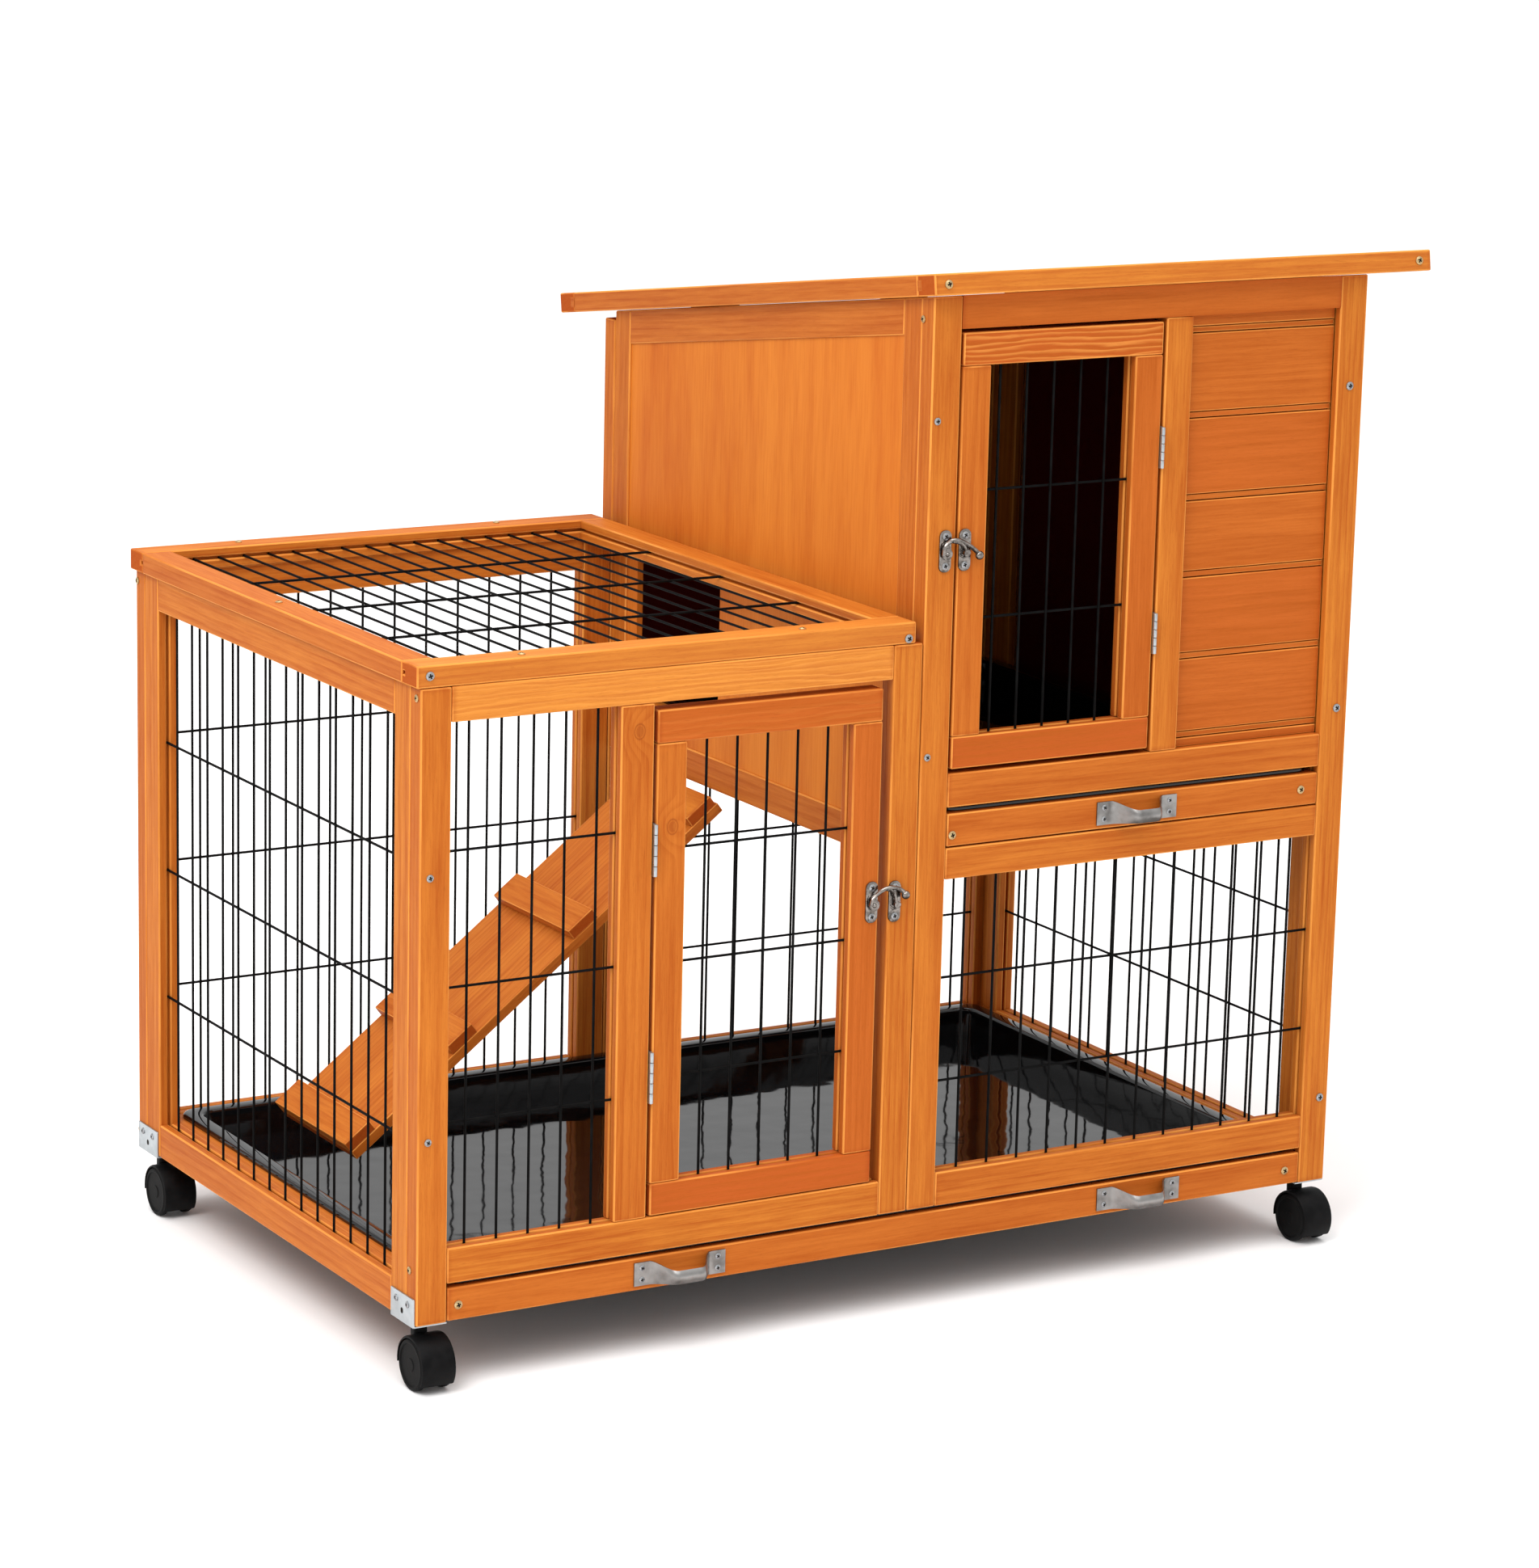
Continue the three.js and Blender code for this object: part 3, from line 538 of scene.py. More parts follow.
def doorBoards(tag, plan, body, stands):
    x, z, rail = plan["x"], plan["z"], plan["rail"]
    inner = (z[0] + rail, z[1] - rail)
    board(f"{tag}_rail_top", x, front, (z[1] - rail, z[1]), "x", "y", body, grooves="low", stands=stands,
          tint=0.8, figure=plan["figure"])
    board(f"{tag}_rail_bottom", x, front, (z[0], z[0] + rail), "x", "y", body, grooves="high", tint=0.85)
    board(f"{tag}_stile_left", (x[0], x[0] + rail), front, inner, "z", "y", body, grooves="high", tint=0.4,
          knot=plan["knot"])
    board(f"{tag}_stile_right", (x[1] - rail, x[1]), front, inner, "z", "y", body, grooves="low", tint=0.6)


doorBoards("run_door", runDoor, "run_door", ["run_door_frame"])

# tower frames
eaves = {"top": 929.7, "fall": 0.1455}  # height of the roof's underside at the front, and its slope


def eavesCut(low, flat):
    rise, fall = eaves["top"] - low, eaves["fall"]
    return [((rise, 0, 0), (1, 0, fall))] if flat == "stile" else [((0, rise, 0), (0, 1, fall))]


board("tower_stile_left", (496.5, 526), front, (95, eaves["top"]), "z", "y", grooves="high",
      stands=["tower_front_frame"], tint=0.15, cuts=eavesCut(95, "stile"))
board("tower_post_right", (938, 967.5), front, (60, eaves["top"]), "z", "y", grooves="low", tint=0.1,
      cuts=eavesCut(60, "stile"))
board("tower_rail_top", (526, 938), front, (900, eaves["top"]), "x", "y", tint=0.75,
      cuts=eavesCut(900, "rail"))
board("tower_rail_house", (526, 938), front, (468.5, 499.6), "x", "y", tint=0.4)
board("tower_stile_middle", (745, 774), front, (499.6, 900), "z", "y", tint=0.15)
board("tower_rail_middle", (526, 938), front, (402, 431), "x", "y", grooves="low", tint=0.35)
board("tower_rail_bottom", (526, 938), front, (95, 127), "x", "y", grooves="high", tint=0.35)

wallPlan = {"rail": 33, "sill": (410, 441)}


def wallTop(y):
    return eaves["top"] - eaves["fall"] * y


def slopedWall(tag, x, bottom, stands):
    fall = eaves["fall"]
    for end, y, side in (("front", (20.3, 50), "high"), ("back", (550, 579.7), "low")):
        high = wallTop(y[0])
        cut = [((high - bottom, 0, 0), (1, fall, 0))]
        board(f"{tag}_stile_{end}", x, y, (bottom, high), "z", "x", grooves=side, cuts=cut,
              stands=stands if end == "front" else (), tint=0.25)
    sloping = (Vector((0, 1, -fall)), axes["z"], axes["x"])
    drawBoard(f"{tag}_rail_top", at(x[0], 50, wallTop(50) - wallPlan["rail"]), sloping,
              (500, wallPlan["rail"], x[1] - x[0]), "hutch", grooves="low", tint=0.3)
    board(f"{tag}_rail_sill", x, (50, 550), wallPlan["sill"], "y", "x", grooves="low high", tint=0.4)


slopedWall("tower_left", wall, 410, ["tower_left_frame"])
slopedWall("tower_right", right, 60, ["tower_right_frame"])
board("tower_right_rail_bottom", right, (50, 550), (60, 92), "y", "x", grooves="high")
board("tower_back_stile_left", (496.5, 526), back, (60, 836.5), "z", "y", grooves="high",
      stands=["tower_back_frame"])
board("tower_back_stile_right", (938, 967.5), back, (60, 836.5), "z", "y", grooves="low")
board("tower_back_rail_top", (526, 938), back, (806, 836.5), "x", "y", grooves="low")
board("tower_back_rail_sill", (526, 938), back, (410, 441), "x", "y", grooves="low high")
board("tower_back_rail_bottom", (526, 938), back, (60, 92), "x", "y", grooves="high")

houseDoor = {"x": (528.6, 741.8), "z": (503.6, 896.3), "rail": 29.5, "knot": None, "figure": 0.4}
doorBoards("house_door", houseDoor, "house_door", ["house_door_frame"])

# tongue-and-groove slats beside the house door
slatPlan = {
    "x": (774.3, 937.7), "z": (499.9, 899.7), "lines": (511, 585, 661, 732, 808, 886), "bead": 5, "gap": 0.9,
}


def frontSlats(plan):
    half = plan["bead"] / 2
    edges = [plan["z"][0]]
    for line in plan["lines"]:
        board(f"slat_bead_{line}", plan["x"], (9.2, 16), (line - half, line + half), "x", "y", rounding=0.9,
              tint=0.6)
        edges += [line - half - plan["gap"], line + half + plan["gap"]]
    edges.append(plan["z"][1])
    for k in range(0, len(edges), 2):
        board(f"slat_{k // 2}", plan["x"], (8, 16), (edges[k], edges[k + 1]), "x", "y", rounding=0.9,
              stands=["front_slats"] if k == 0 else (), tint=0.65)


frontSlats(slatPlan)

# roof, drawn flat and tipped down to the back
roofPlan = {
    "x": (489, 1030), "front": -13, "frontZ": 932, "slope": math.atan(eaves["fall"]),
    "length": 698.8, "thick": 19.4, "wide": 29, "tongue": (7, 3, 9.4),
}


def roofBoards(plan):
    down = plan["slope"]
    along = Vector((0, math.cos(down), -math.sin(down)))
    normal = Vector((0, math.sin(down), math.cos(down)))
    origin = at(0, plan["front"], plan["frontZ"])
    x, wide, length, thick = plan["x"], plan["wide"], plan["length"], plan["thick"]

    def spot(px, py):
        return origin + axes["x"] * px * mm + along * py * mm

    level, tipped = (axes["x"], along, normal), (along, axes["x"], normal)
    cross, rail = (x[1] - x[0], wide, thick), (length - 2 * wide, wide, thick)
    drawBoard("roof_rail_front", spot(x[0], 0), level, cross, "roof", ["roof_frame"], "high", tint=-0.2)
    drawBoard("roof_rail_back", spot(x[0], length - wide), level, cross, "roof", grooves="low", tint=0.3)
    drawBoard("roof_rail_left", spot(x[0], wide), tipped, rail, "roof", grooves="high", tint=0.2)
    drawBoard("roof_rail_right", spot(x[1] - wide, wide), tipped, rail, "roof", grooves="low", tint=0.2)
    tongue = plan["tongue"]
    lift = normal * (thick - tongue[2]) / 2 * mm
    for tag, px, py in (("front_left", x[0], wide - tongue[0]), ("back_left", x[0], length - wide),
                        ("front_right", x[1] - tongue[1], wide - tongue[0]),
                        ("back_right", x[1] - tongue[1], length - wide)):
        drawBoard(f"roof_tongue_{tag}", spot(px, py) + lift, tipped, tongue, "roof", rounding=0.15, tint=0.2)


roofBoards(roofPlan)

# drawer fronts
board("lower_drawer_front", (29.6, 937.4), front, (61, 90.8), "x", "y", "lower_drawer",
      stands=["lower_tray_front"], tint=0.55)
board("upper_drawer_front", (526.6, 937.4), front, (432.5, 462.6), "x", "y", "upper_drawer",
      stands=["upper_tray_front"], tint=0.45)

# ramp with its cleats
rampPlan = {
    "foot": (112.6, 97.5), "top": (498.2, 393.9), "y": (352, 507), "thick": 10,
    "cleat": (32, 10.8), "gap": 0.1, "starts": (0, 133, 293, 452),
}


def rampBoards(plan):
    run = Vector((plan["top"][0] - plan["foot"][0], 0, plan["top"][1] - plan["foot"][1]))
    up = run.normalized()
    normal = Vector((-up.z, 0, up.x))
    foot = at(plan["foot"][0], plan["y"][0], plan["foot"][1])
    wide = plan["y"][1] - plan["y"][0]
    drawBoard("ramp_plank", foot, (up, axes["y"], normal), (run.length, wide, plan["thick"]), "hutch",
              stands=["ramp"], rounding=0.8, tint=0.15)
    for k, start in enumerate(plan["starts"]):
        corner = foot + up * start * mm + normal * (plan["thick"] + plan["gap"]) * mm
        drawBoard(f"ramp_cleat_{k}", corner, (axes["y"], up, normal), (wide, *plan["cleat"]), "hutch",
                  rounding=0.8, tint=0.15)


rampBoards(rampPlan)
print("boards made")


# welded wire panels: upright wires in front, cross wires behind them
wirePlan = {"radius": 1.25, "sides": 8, "reach": 4.0, "press": 0.45}


def wirePanel(name, flat, middle, a, b, atA, atB, body="hutch"):
    axisA, axisB = {"y": ("x", "z"), "x": ("y", "z"), "z": ("x", "y")}[flat]
    reach, radius = wirePlan["reach"], wirePlan["radius"]
    press = radius * wirePlan["press"]
    bm = bmesh.new()

    def rod(axis, low, high, fixed, offset):
        centre = {axis: (low + high) / 2, flat: middle + offset, **fixed}
        turn = axes["z"].rotation_difference(axes[axis]).to_matrix().to_4x4()
        spot = Matrix.Translation(at(centre["x"], centre["y"], centre["z"]))
        bmesh.ops.create_cone(bm, cap_ends=True, segments=wirePlan["sides"], radius1=radius * mm,
                              radius2=radius * mm, depth=(high - low) * mm, matrix=spot @ turn)

    for p in atA:
        rod(axisB, b[0] - reach, b[1] + reach, {axisA: p}, -press)
    for p in atB:
        rod(axisA, a[0] - reach, a[1] + reach, {axisB: p}, press)
    return smooth(newPiece(name + "_wires", bm, finish["wire"], body, [name]), 50)


def evenly(low, high, count):
    return [low + (high - low) * k / (count - 1) for k in range(count)]


sideWires = evenly(82, 527, 14)
towerWires = evenly(554, 916, 12)
wirePanel("run_front_mesh", "y", 10, (29, 192), (127, 591), evenly(50, 174, 5), (237, 357, 477))
wirePanel("run_side_mesh", "x", 10, (50, 550), (92, 591), sideWires, (217, 341, 464))
wirePanel("run_back_mesh", "y", 590, (29, 466), (92, 591), evenly(60, 435, 12), (217, 340, 464))
wirePanel("lid_mesh", "z", 632, (25, 459), (29, 576), evenly(50, 434, 16), (161, 301, 440))
wirePanel("run_door_mesh", "y", 10, (257.5, 426.5), (157.5, 554.5), evenly(282, 405, 5), (252, 355, 458),
          "run_door")
wirePanel("tower_front_mesh", "y", 10, (526, 938), (127, 402), towerWires, (211, 308))
wirePanel("house_door_mesh", "y", 10, (558.1, 712.3), (533.1, 866.8), evenly(573.5, 688, 5), (638, 753.5),
          "house_door")
wirePanel("tower_right_mesh", "x", 957.5, (50, 550), (92, 410), sideWires, (198, 312))
wirePanel("tower_back_mesh", "y", 590, (526, 938), (92, 410), towerWires, (190, 305))
print("wire panels made")

# hardware: small shapes drawn in millimetres, then stamped in place
def facing(x, y, z, right, up):
    turn = Matrix([(a * mm).to_tuple() for a in (right, up, right.cross(up))]).transposed().to_4x4()
    turn.translation = at(x, y, z)
    return turn


def onFront(x, z, y=0):
    return facing(x, y, z, axes["x"], axes["z"])


def onLeft(y, z, x=0):
    return facing(x, y, z, -axes["y"], axes["z"])


def onRight(y, z, x):
    return facing(x, y, z, axes["y"], axes["z"])


def onTop(x, y, z):
    return facing(x, y, z, axes["x"], axes["y"])


def stamp(bm, shape, place):
    held = bpy.data.meshes.new("held")
    shape.to_mesh(held)
    before = set(bm.verts)
    bm.from_mesh(held)
    bpy.data.meshes.remove(held)
    bmesh.ops.transform(bm, matrix=place, verts=[v for v in bm.verts if v not in before])


def placed(shape, place):
    bm = bmesh.new()
    stamp(bm, shape, place)
    return bm


fromDatum = Matrix.Translation(datum) @ Matrix.Scale(mm, 4)
screwPlan = {"radius": 3.9, "slot": 0.25, "dome": 1.3, "skirt": 1.0, "sink": 0.6}


# pan head with a cross recess
def drawScrew(plan):
    bm = bmesh.new()
    bmesh.ops.create_grid(bm, x_segments=5, y_segments=5, size=1.0)
    for v in bm.verts:
        v.co.x, v.co.y = (plan["slot"] * math.copysign(1, c) if abs(c) < 0.3 else c for c in v.co.xy)
    cross = [f for f in bm.faces if min(abs(c) for c in f.calc_center_median().xy) < 0.1
             and f.calc_center_median().length < 0.6]
    for v in bm.verts:
        reach = max(abs(v.co.x), abs(v.co.y))
        flat = v.co.normalized() * reach * plan["radius"]
        v.co = Vector((flat.x, flat.y, plan["skirt"] + plan["dome"] * (1 - reach * reach)))
    bmesh.ops.inset_region(bm, faces=cross, thickness=0.08, depth=-plan["sink"])
    # the sunk cross gets the near-black recess finish as painted shade
    for face in cross:
        face.material_index = 1
    wall = bmesh.ops.extrude_edge_only(bm, edges=openEdges(bm))
    bmesh.ops.translate(bm, vec=(0, 0, -plan["skirt"]), verts=madeVerts(wall))
    bmesh.ops.holes_fill(bm, edges=openEdges(bm), sides=0)
    return bm


screwHead = drawScrew(screwPlan)


def screws(name, places, body, metal="screw", size=1.0):
    bm = bmesh.new()
    for k, place in enumerate(places):
        stamp(bm, screwHead, place @ Matrix.Rotation(0.7 * k + 0.3, 4, "Z") @ Matrix.Scale(size, 4))
    piece = newPiece(name, bm, finish[metal], body)
    piece.data.materials.append(finish["recess"])
    return smooth(piece, 50)


# rounded flat plate, its front edge eased
def drawPad(wide, tall, thick, corner, soft=0.4):
    bm = bmesh.new()
    roundedGrid(bm, wide, tall, corner)
    drawn = bmesh.ops.extrude_face_region(bm, geom=bm.faces[:], use_keep_orig=True)
    upper = madeVerts(drawn)
    bmesh.ops.translate(bm, vec=(0, 0, thick), verts=upper)
    bmesh.ops.recalc_face_normals(bm, faces=bm.faces)
    rim = [e for e in bm.edges if all(v in upper for v in e.verts) and e.calc_face_angle(0) > 0.5]
    easeEdges(bm, rim, soft, 2)
    return bm


# round bar along a path, in millimetres
def addBar(bm, path, radii, sides=10):
    rings = []
    last = len(path) - 1
    for k, point in enumerate(path):
        ahead = path[min(k + 1, last)] - path[max(k - 1, 0)]
        turn = axes["z"].rotation_difference(ahead).to_matrix().to_4x4()
        share = k / last
        radius = radii[0] * (1 - share) + radii[1] * share
        made = bmesh.ops.create_circle(bm, cap_ends=k in (0, last), segments=sides, radius=radius,
                                       matrix=Matrix.Translation(point) @ turn)
        ring = {e for v in made["verts"] for e in v.link_edges}
        if rings:
            bmesh.ops.bridge_loops(bm, edges=list(rings[-1] | ring))
        rings.append(ring)


def curve(start, leave, arrive, end, count=9):
    return geometry.interpolate_bezier(Vector(start), Vector(leave), Vector(arrive), Vector(end), count)


def addKnob(bm, spot, radius):
    made = bmesh.ops.create_uvsphere(bm, u_segments=16, v_segments=10, radius=radius)
    bmesh.ops.scale(bm, vec=(1, 1, 0.8), verts=made["verts"])
    bmesh.ops.translate(bm, vec=spot, verts=made["verts"])


# swing-hook latches; places are (X, Z) on the front
latches = {
    "run": {
        "disc": (449, 388), "tab": (472, 386.5), "knob": (481.5, 394.5), "top": (466.5, 403), "pivot": "disc",
        "plates": (("run_latch_plate", (448.6, 390), "run_door"),
                   ("run_latch_catch", (472.6, 388.4), "hutch")),
        "hook": ("run_latch_hook", "run_hook"),
    },
    "house": {
        "disc": (514.5, 701), "tab": (534, 701), "knob": (548, 698), "top": (524, 713.5), "pivot": "tab",
        "plates": (("house_latch_catch", (514.8, 703), "hutch"),
                   ("house_latch_plate", (535.2, 703), "house_door")),
        "hook": ("house_latch_hook", "house_hook"),
    },
}
latchPlan = {
    "wide": 12.4, "tall": 38, "thick": 1.5, "corner": 5.704, "backY": -0.2,
    "raised": (7.688, 15.96, 0.9, 3.4), "raisedY": -1.2, "screwAt": 13.4, "screwSize": 0.84,
    "out": 6.0, "bar": (1.7, 2.1), "leg": (2.0, 1.5), "knob": 4.1,
    "disc": (10.8, 10.8, 1.3, 5.292), "discY": -4.4, "tab": (6.8, 6.4, 2.6, 3.1), "tabY": -4.8, "tabX": 0.6,
    "rivet": 2.3, "rivetOut": 5.6, "post": (4.6, 4.6, 2.8, 2.2), "postY": -1.9, "loop": 1, "loopOut": 2.6,
}


def drawHook(spots, plan):
    disc, tab, knob, top = (Vector((*spots[k], plan["out"])) for k in ("disc", "tab", "knob", "top"))
    shape = bmesh.new()
    arch = curve(disc + Vector((-4, 0, 0)), disc + Vector((-5, 8, 0)), top + Vector((-8, 1, 0)), top)
    arch += curve(top, top + Vector((6, -1, 0)), knob + Vector((-4, 6, 0)), knob)[1:]
    addBar(shape, arch, plan["bar"])
    leg = curve(top + Vector((-5, -1, 0)), top + Vector((2, -2, 0)), tab + Vector((-1, 9, 0)), tab)
    addBar(shape, leg, plan["leg"])
    addKnob(shape, knob, plan["knob"])
    addKnob(shape, (disc.x, disc.y, plan["rivetOut"]), plan["rivet"])
    bm = placed(shape, onFront(0, 0))
    stamp(bm, drawPad(*plan["disc"]), onFront(disc.x, disc.y, plan["discY"]))
    stamp(bm, drawPad(*plan["tab"], 0.6), onFront(tab.x + plan["tabX"], tab.y, plan["tabY"]))
    stamp(bm, drawPad(*plan["post"], 0.3), onFront(*spots[spots["pivot"]], plan["postY"]))
    node, body = spots["hook"]
    shaped(node, bm, "chrome", body)


def drawLoop(tag, spots, plan):
    x, z = spots["tab"]
    under = Vector((x, z - 1, plan["loopOut"]))
    bow = curve(*(under + Vector(step) for step in ((-4, 1, -2), (-4, -4.5, 0), (4, -4.5, 0), (4, 1, -2))))
    loop = bmesh.new()
    addBar(loop, bow, (plan["loop"], plan["loop"]), 8)
    bm = placed(loop, onFront(0, 0))
    keeper = spots["plates"][1][2]
    smooth(newPiece(f"{tag}_latch_loop", bm, finish["chrome"], keeper), 35)


def drawLatch(tag, spots, plan):
    heads = {}
    for node, (x, z), body in spots["plates"]:
        bm = bmesh.new()
        stamp(bm, drawPad(plan["wide"], plan["tall"], plan["thick"], plan["corner"], 0.6),
              onFront(x, z, plan["backY"]))
        stamp(bm, drawPad(*plan["raised"], 0.5), onFront(x, z, plan["raisedY"]))
        shaped(node, bm, "chrome", body)
        heads[body] = [onFront(x, z + k * plan["screwAt"], plan["raisedY"]) for k in (-1, 1)]
    for body, places in heads.items():
        screws(f"{tag}_latch_screws_{body}", places, body, size=plan["screwSize"])
    drawHook(spots, plan)
    drawLoop(tag, spots, plan)


for tag, spots in latches.items():
    drawLatch(tag, spots, latchPlan)


# bow handles: one pressed strip, flat at the feet, narrowed and bulged between them
bowPlan = {
    "foot": 15.5, "tall": 21.5, "reach": 19.8, "ramp": 19.0, "grip": 11.0, "bulge": 2.6, "thick": 1.3,
    "drop": 1.6, "screwRise": 5.4, "screwSize": 0.72,
}
bows = {
    "lower_handle_left": (259.4, 76.2, 92.5, "lower_drawer"),
    "lower_handle_right": (751, 76.2, 92.5, "lower_drawer"),
    "upper_handle": (732, 447.2, 88, "upper_drawer"),
}


def drawBow(name, x, z, length, body, plan):
    half = length / 2
    inner = half - plan["foot"]
    bm = bmesh.new()
    bmesh.ops.create_grid(bm, x_segments=56, y_segments=8, size=1.0)
    for v in bm.verts:
        along, across = v.co.x * half, v.co.y
        climb = min(1.0, max(0.0, (inner - abs(along)) / plan["ramp"]))
        climb = climb * climb * (3 - 2 * climb)
        tall = plan["tall"] * (1 - climb) + plan["grip"] * climb
        out = plan["reach"] * climb + plan["bulge"] * climb * (1 - across * across)
        v.co = Vector((along, across * tall / 2 - plan["drop"] * climb, out))
    turnUp(bm)
    bmesh.ops.solidify(bm, geom=bm.faces[:], thickness=-plan["thick"])
    shaped(name, placed(bm, onFront(x, z, -0.3)), "handle", body)
    aside, rise = half - plan["foot"] / 2, plan["screwRise"]
    places = [onFront(x + sx * aside, z + sz * rise, -1.2) for sx in (-1, 1) for sz in (-1, 1)]
    screws(name + "_screws", places, body, size=plan["screwSize"])


for name, (x, z, length, body) in bows.items():
    drawBow(name, x, z, length, body, bowPlan)


# butt hinges on the doors: five knuckles on one pin, one thin leaf each side
hingePlan = {
    "radius": 1.9, "knuckles": 5, "slit": 0.5, "leaf": 0.9, "deep": 15, "ease": 0.35,
    "pinY": -2.2, "leafY": -1.2,
}
doorHinges = {
    "run_hinge_upper": (226.2, (437, 484), "run_door", -1),
    "run_hinge_lower": (226.2, (232, 279), "run_door", -1),
    "house_hinge_upper": (743.4, (763, 801), "house_door", 1),
    "house_hinge_lower": (743.4, (592, 630), "house_door", 1),
}


def drawDoorHinge(name, pinX, z, door, fixedSide, plan):
    pitch = (z[1] - z[0]) / plan["knuckles"]
    for half, body, side, start in (("fixed", "hutch", fixedSide, 0), ("moving", door, -fixedSide, 1)):
        bm = bmesh.new()
        for k in range(start, plan["knuckles"], 2):
            spot = Matrix.Translation(at(pinX, plan["pinY"], z[0] + (k + 0.5) * pitch))
            made = bmesh.ops.create_cone(bm, cap_ends=True, segments=16, radius1=plan["radius"] * mm,
                                         radius2=plan["radius"] * mm, depth=(pitch - plan["slit"]) * mm,
                                         matrix=spot)
            ends = {e for v in made["verts"] for e in v.link_edges if e.calc_face_angle(0) > 1}
            easeEdges(bm, list(ends), plan["ease"] * mm, 2)
        leaf = drawPad(z[1] - z[0], plan["deep"], plan["leaf"], 1.0, 0.2)
        edge = pinX + side * 0.35 - (plan["leaf"] if side < 0 else 0)
        middle = facing(edge, plan["leafY"] + plan["deep"] / 2, (z[0] + z[1]) / 2, -axes["z"], axes["y"])
        stamp(bm, leaf, middle)
        stands = [name] if half == "fixed" else ()
        smooth(newPiece(f"{name}_{half}", bm, finish["zinc"], body, stands), 35)


for name, (pinX, z, door, side) in doorHinges.items():
    drawDoorHinge(name, pinX, z, door, side, hingePlan)

# casters: angle bracket, twin wheels and a rounded hood on a stem
casterPlan = {
    "radius": 23, "half": 16.4, "inner": 9, "trail": 15, "hood": 26.0, "hoodWall": 2.0,
    "from": -8, "sweep": 222, "web": (26, 30, 14, 6, 0.6), "webMove": (-7, -11, 28),
    "stem": (12.8, 12.8, 34.6, 4.2, 0.8),
}
bracketPlan = {
    "sideLeaf": (44, 26, 1.5, 0.8, 0.4), "sideZ": 71.2, "topLeaf": (32, 44, 1.4, 0.8, 0.4), "topZ": 58.3,
    "screwGap": 11, "screwZ": 77, "screwOut": 1.3, "screwSize": 0.8,
    "hole": (4.2, 5.4, 0.3, 2.0, 0.1), "holeZ": 68.5, "holeOut": 1.35,
}
casters = {"fl": (15, 25, -1), "fr": (952.5, 25, 1), "bl": (15, 575, -1), "br": (952.5, 575, 1)}
acrossX = Matrix(((0, 0, 1, 0), (1, 0, 0, 0), (0, 1, 0, 0), (0, 0, 0, 1)))


def spun(bm, outline, centre, angle, steps, start=0.0):
    ring = [bm.verts.new(Vector((x, r, 0))) for r, x in outline]
    chain = [bm.edges.new((a, b)) for a, b in zip(ring, ring[1:])]
    bmesh.ops.rotate(bm, verts=ring, cent=(0, 0, 0), matrix=Matrix.Rotation(start, 3, "X"))
    bmesh.ops.translate(bm, verts=ring, vec=centre)
    bmesh.ops.spin(bm, geom=ring + chain, cent=centre, axis=(1, 0, 0), angle=angle, steps=steps,
                   use_merge=angle == math.tau)
    bmesh.ops.remove_doubles(bm, verts=bm.verts, dist=0.001)


def drawWheels(tag, hub, plan):
    r, half, inner = plan["radius"], plan["half"], plan["inner"]
    tread = [(0, inner), (r - 1.2, inner), (r, inner + 1.2), (r, half - 2.0), (r - 0.7, half - 0.7),
             (r - 2.2, half), (r - 3.6, half - 0.2), (r - 4.4, half - 1.2), (6.4, half - 1.2),
             (5.6, half - 0.5), (0, half - 0.4)]
    bm = bmesh.new()
    spun(bm, tread, hub, math.tau, 48)
    spun(bm, [(a, -b) for a, b in tread], hub, math.tau, 48)
    shaped(f"caster_wheels_{tag}", placed(bm, fromDatum), "tread", f"wheels_{tag}", 30)


def drawHood(tag, stemSpot, hub, plan):
    top, half = plan["hood"], plan["half"]
    under = top - plan["hoodWall"] - 0.2
    shell = [(top - 2.2, -half), (top - 0.6, -half + 0.5), (top, -half + 2.4), (top, half - 2.4),
             (top - 0.6, half - 0.5), (top - 2.2, half), (under, half - 0.6), (under, -half + 0.6),
             (top - 2.2, -half)]
    bm = bmesh.new()
    spun(bm, shell, hub, math.radians(plan["sweep"]), 24, math.radians(plan["from"]))
    bmesh.ops.holes_fill(bm, edges=openEdges(bm), sides=0)
    stamp(bm, drawPad(*plan["web"]), Matrix.Translation(stemSpot + Vector(plan["webMove"])) @ acrossX)
    stamp(bm, drawPad(*plan["stem"]), Matrix.Translation(stemSpot + Vector((0, 0, plan["radius"]))))
    shaped(f"caster_hood_{tag}", placed(bm, fromDatum), "caster", f"swivel_{tag}", 30)


def drawBracket(tag, x, y, outward, plan):
    name = f"caster_bracket_{tag}"
    face = -0.2 if outward < 0 else 967.7
    side = onLeft if outward < 0 else onRight
    bm = bmesh.new()
    stamp(bm, drawPad(*plan["sideLeaf"]), side(y, plan["sideZ"], face))
    stamp(bm, drawPad(*plan["topLeaf"]), onTop(x, y, plan["topZ"]))
    shaped(name, bm, "zinc", "hutch", 30)
    proud = face + outward * plan["screwOut"]
    heads = [side(y + k * plan["screwGap"], plan["screwZ"], proud) for k in (-1, 1)]
    screws(name + "_screws", heads, "hutch", size=plan["screwSize"])
    # a near-black pad laid on the bracket stands for its hole: painted shade
    hole = placed(drawPad(*plan["hole"]), side(y, plan["holeZ"], face + outward * plan["holeOut"]))
    newPiece(name + "_painted_hole_shade", hole, finish["recess"], "hutch")


for tag, (x, y, outward) in casters.items():
    hub = Vector((x, y - casterPlan["trail"], casterPlan["radius"]))
    drawWheels(tag, hub, casterPlan)
    drawHood(tag, Vector((x, y, 0)), hub, casterPlan)
    drawBracket(tag, x, y, outward, bracketPlan)

# trays: a sheet pan with rounded corners, its flange rolled over at the rim
trayShape = {
    "inset": 15, "lip": 20, "corner": 16, "roll": 3.0, "soft": 1.3,
    "thick": 1.7, "clear": 0.4, "floorThick": 2,
}


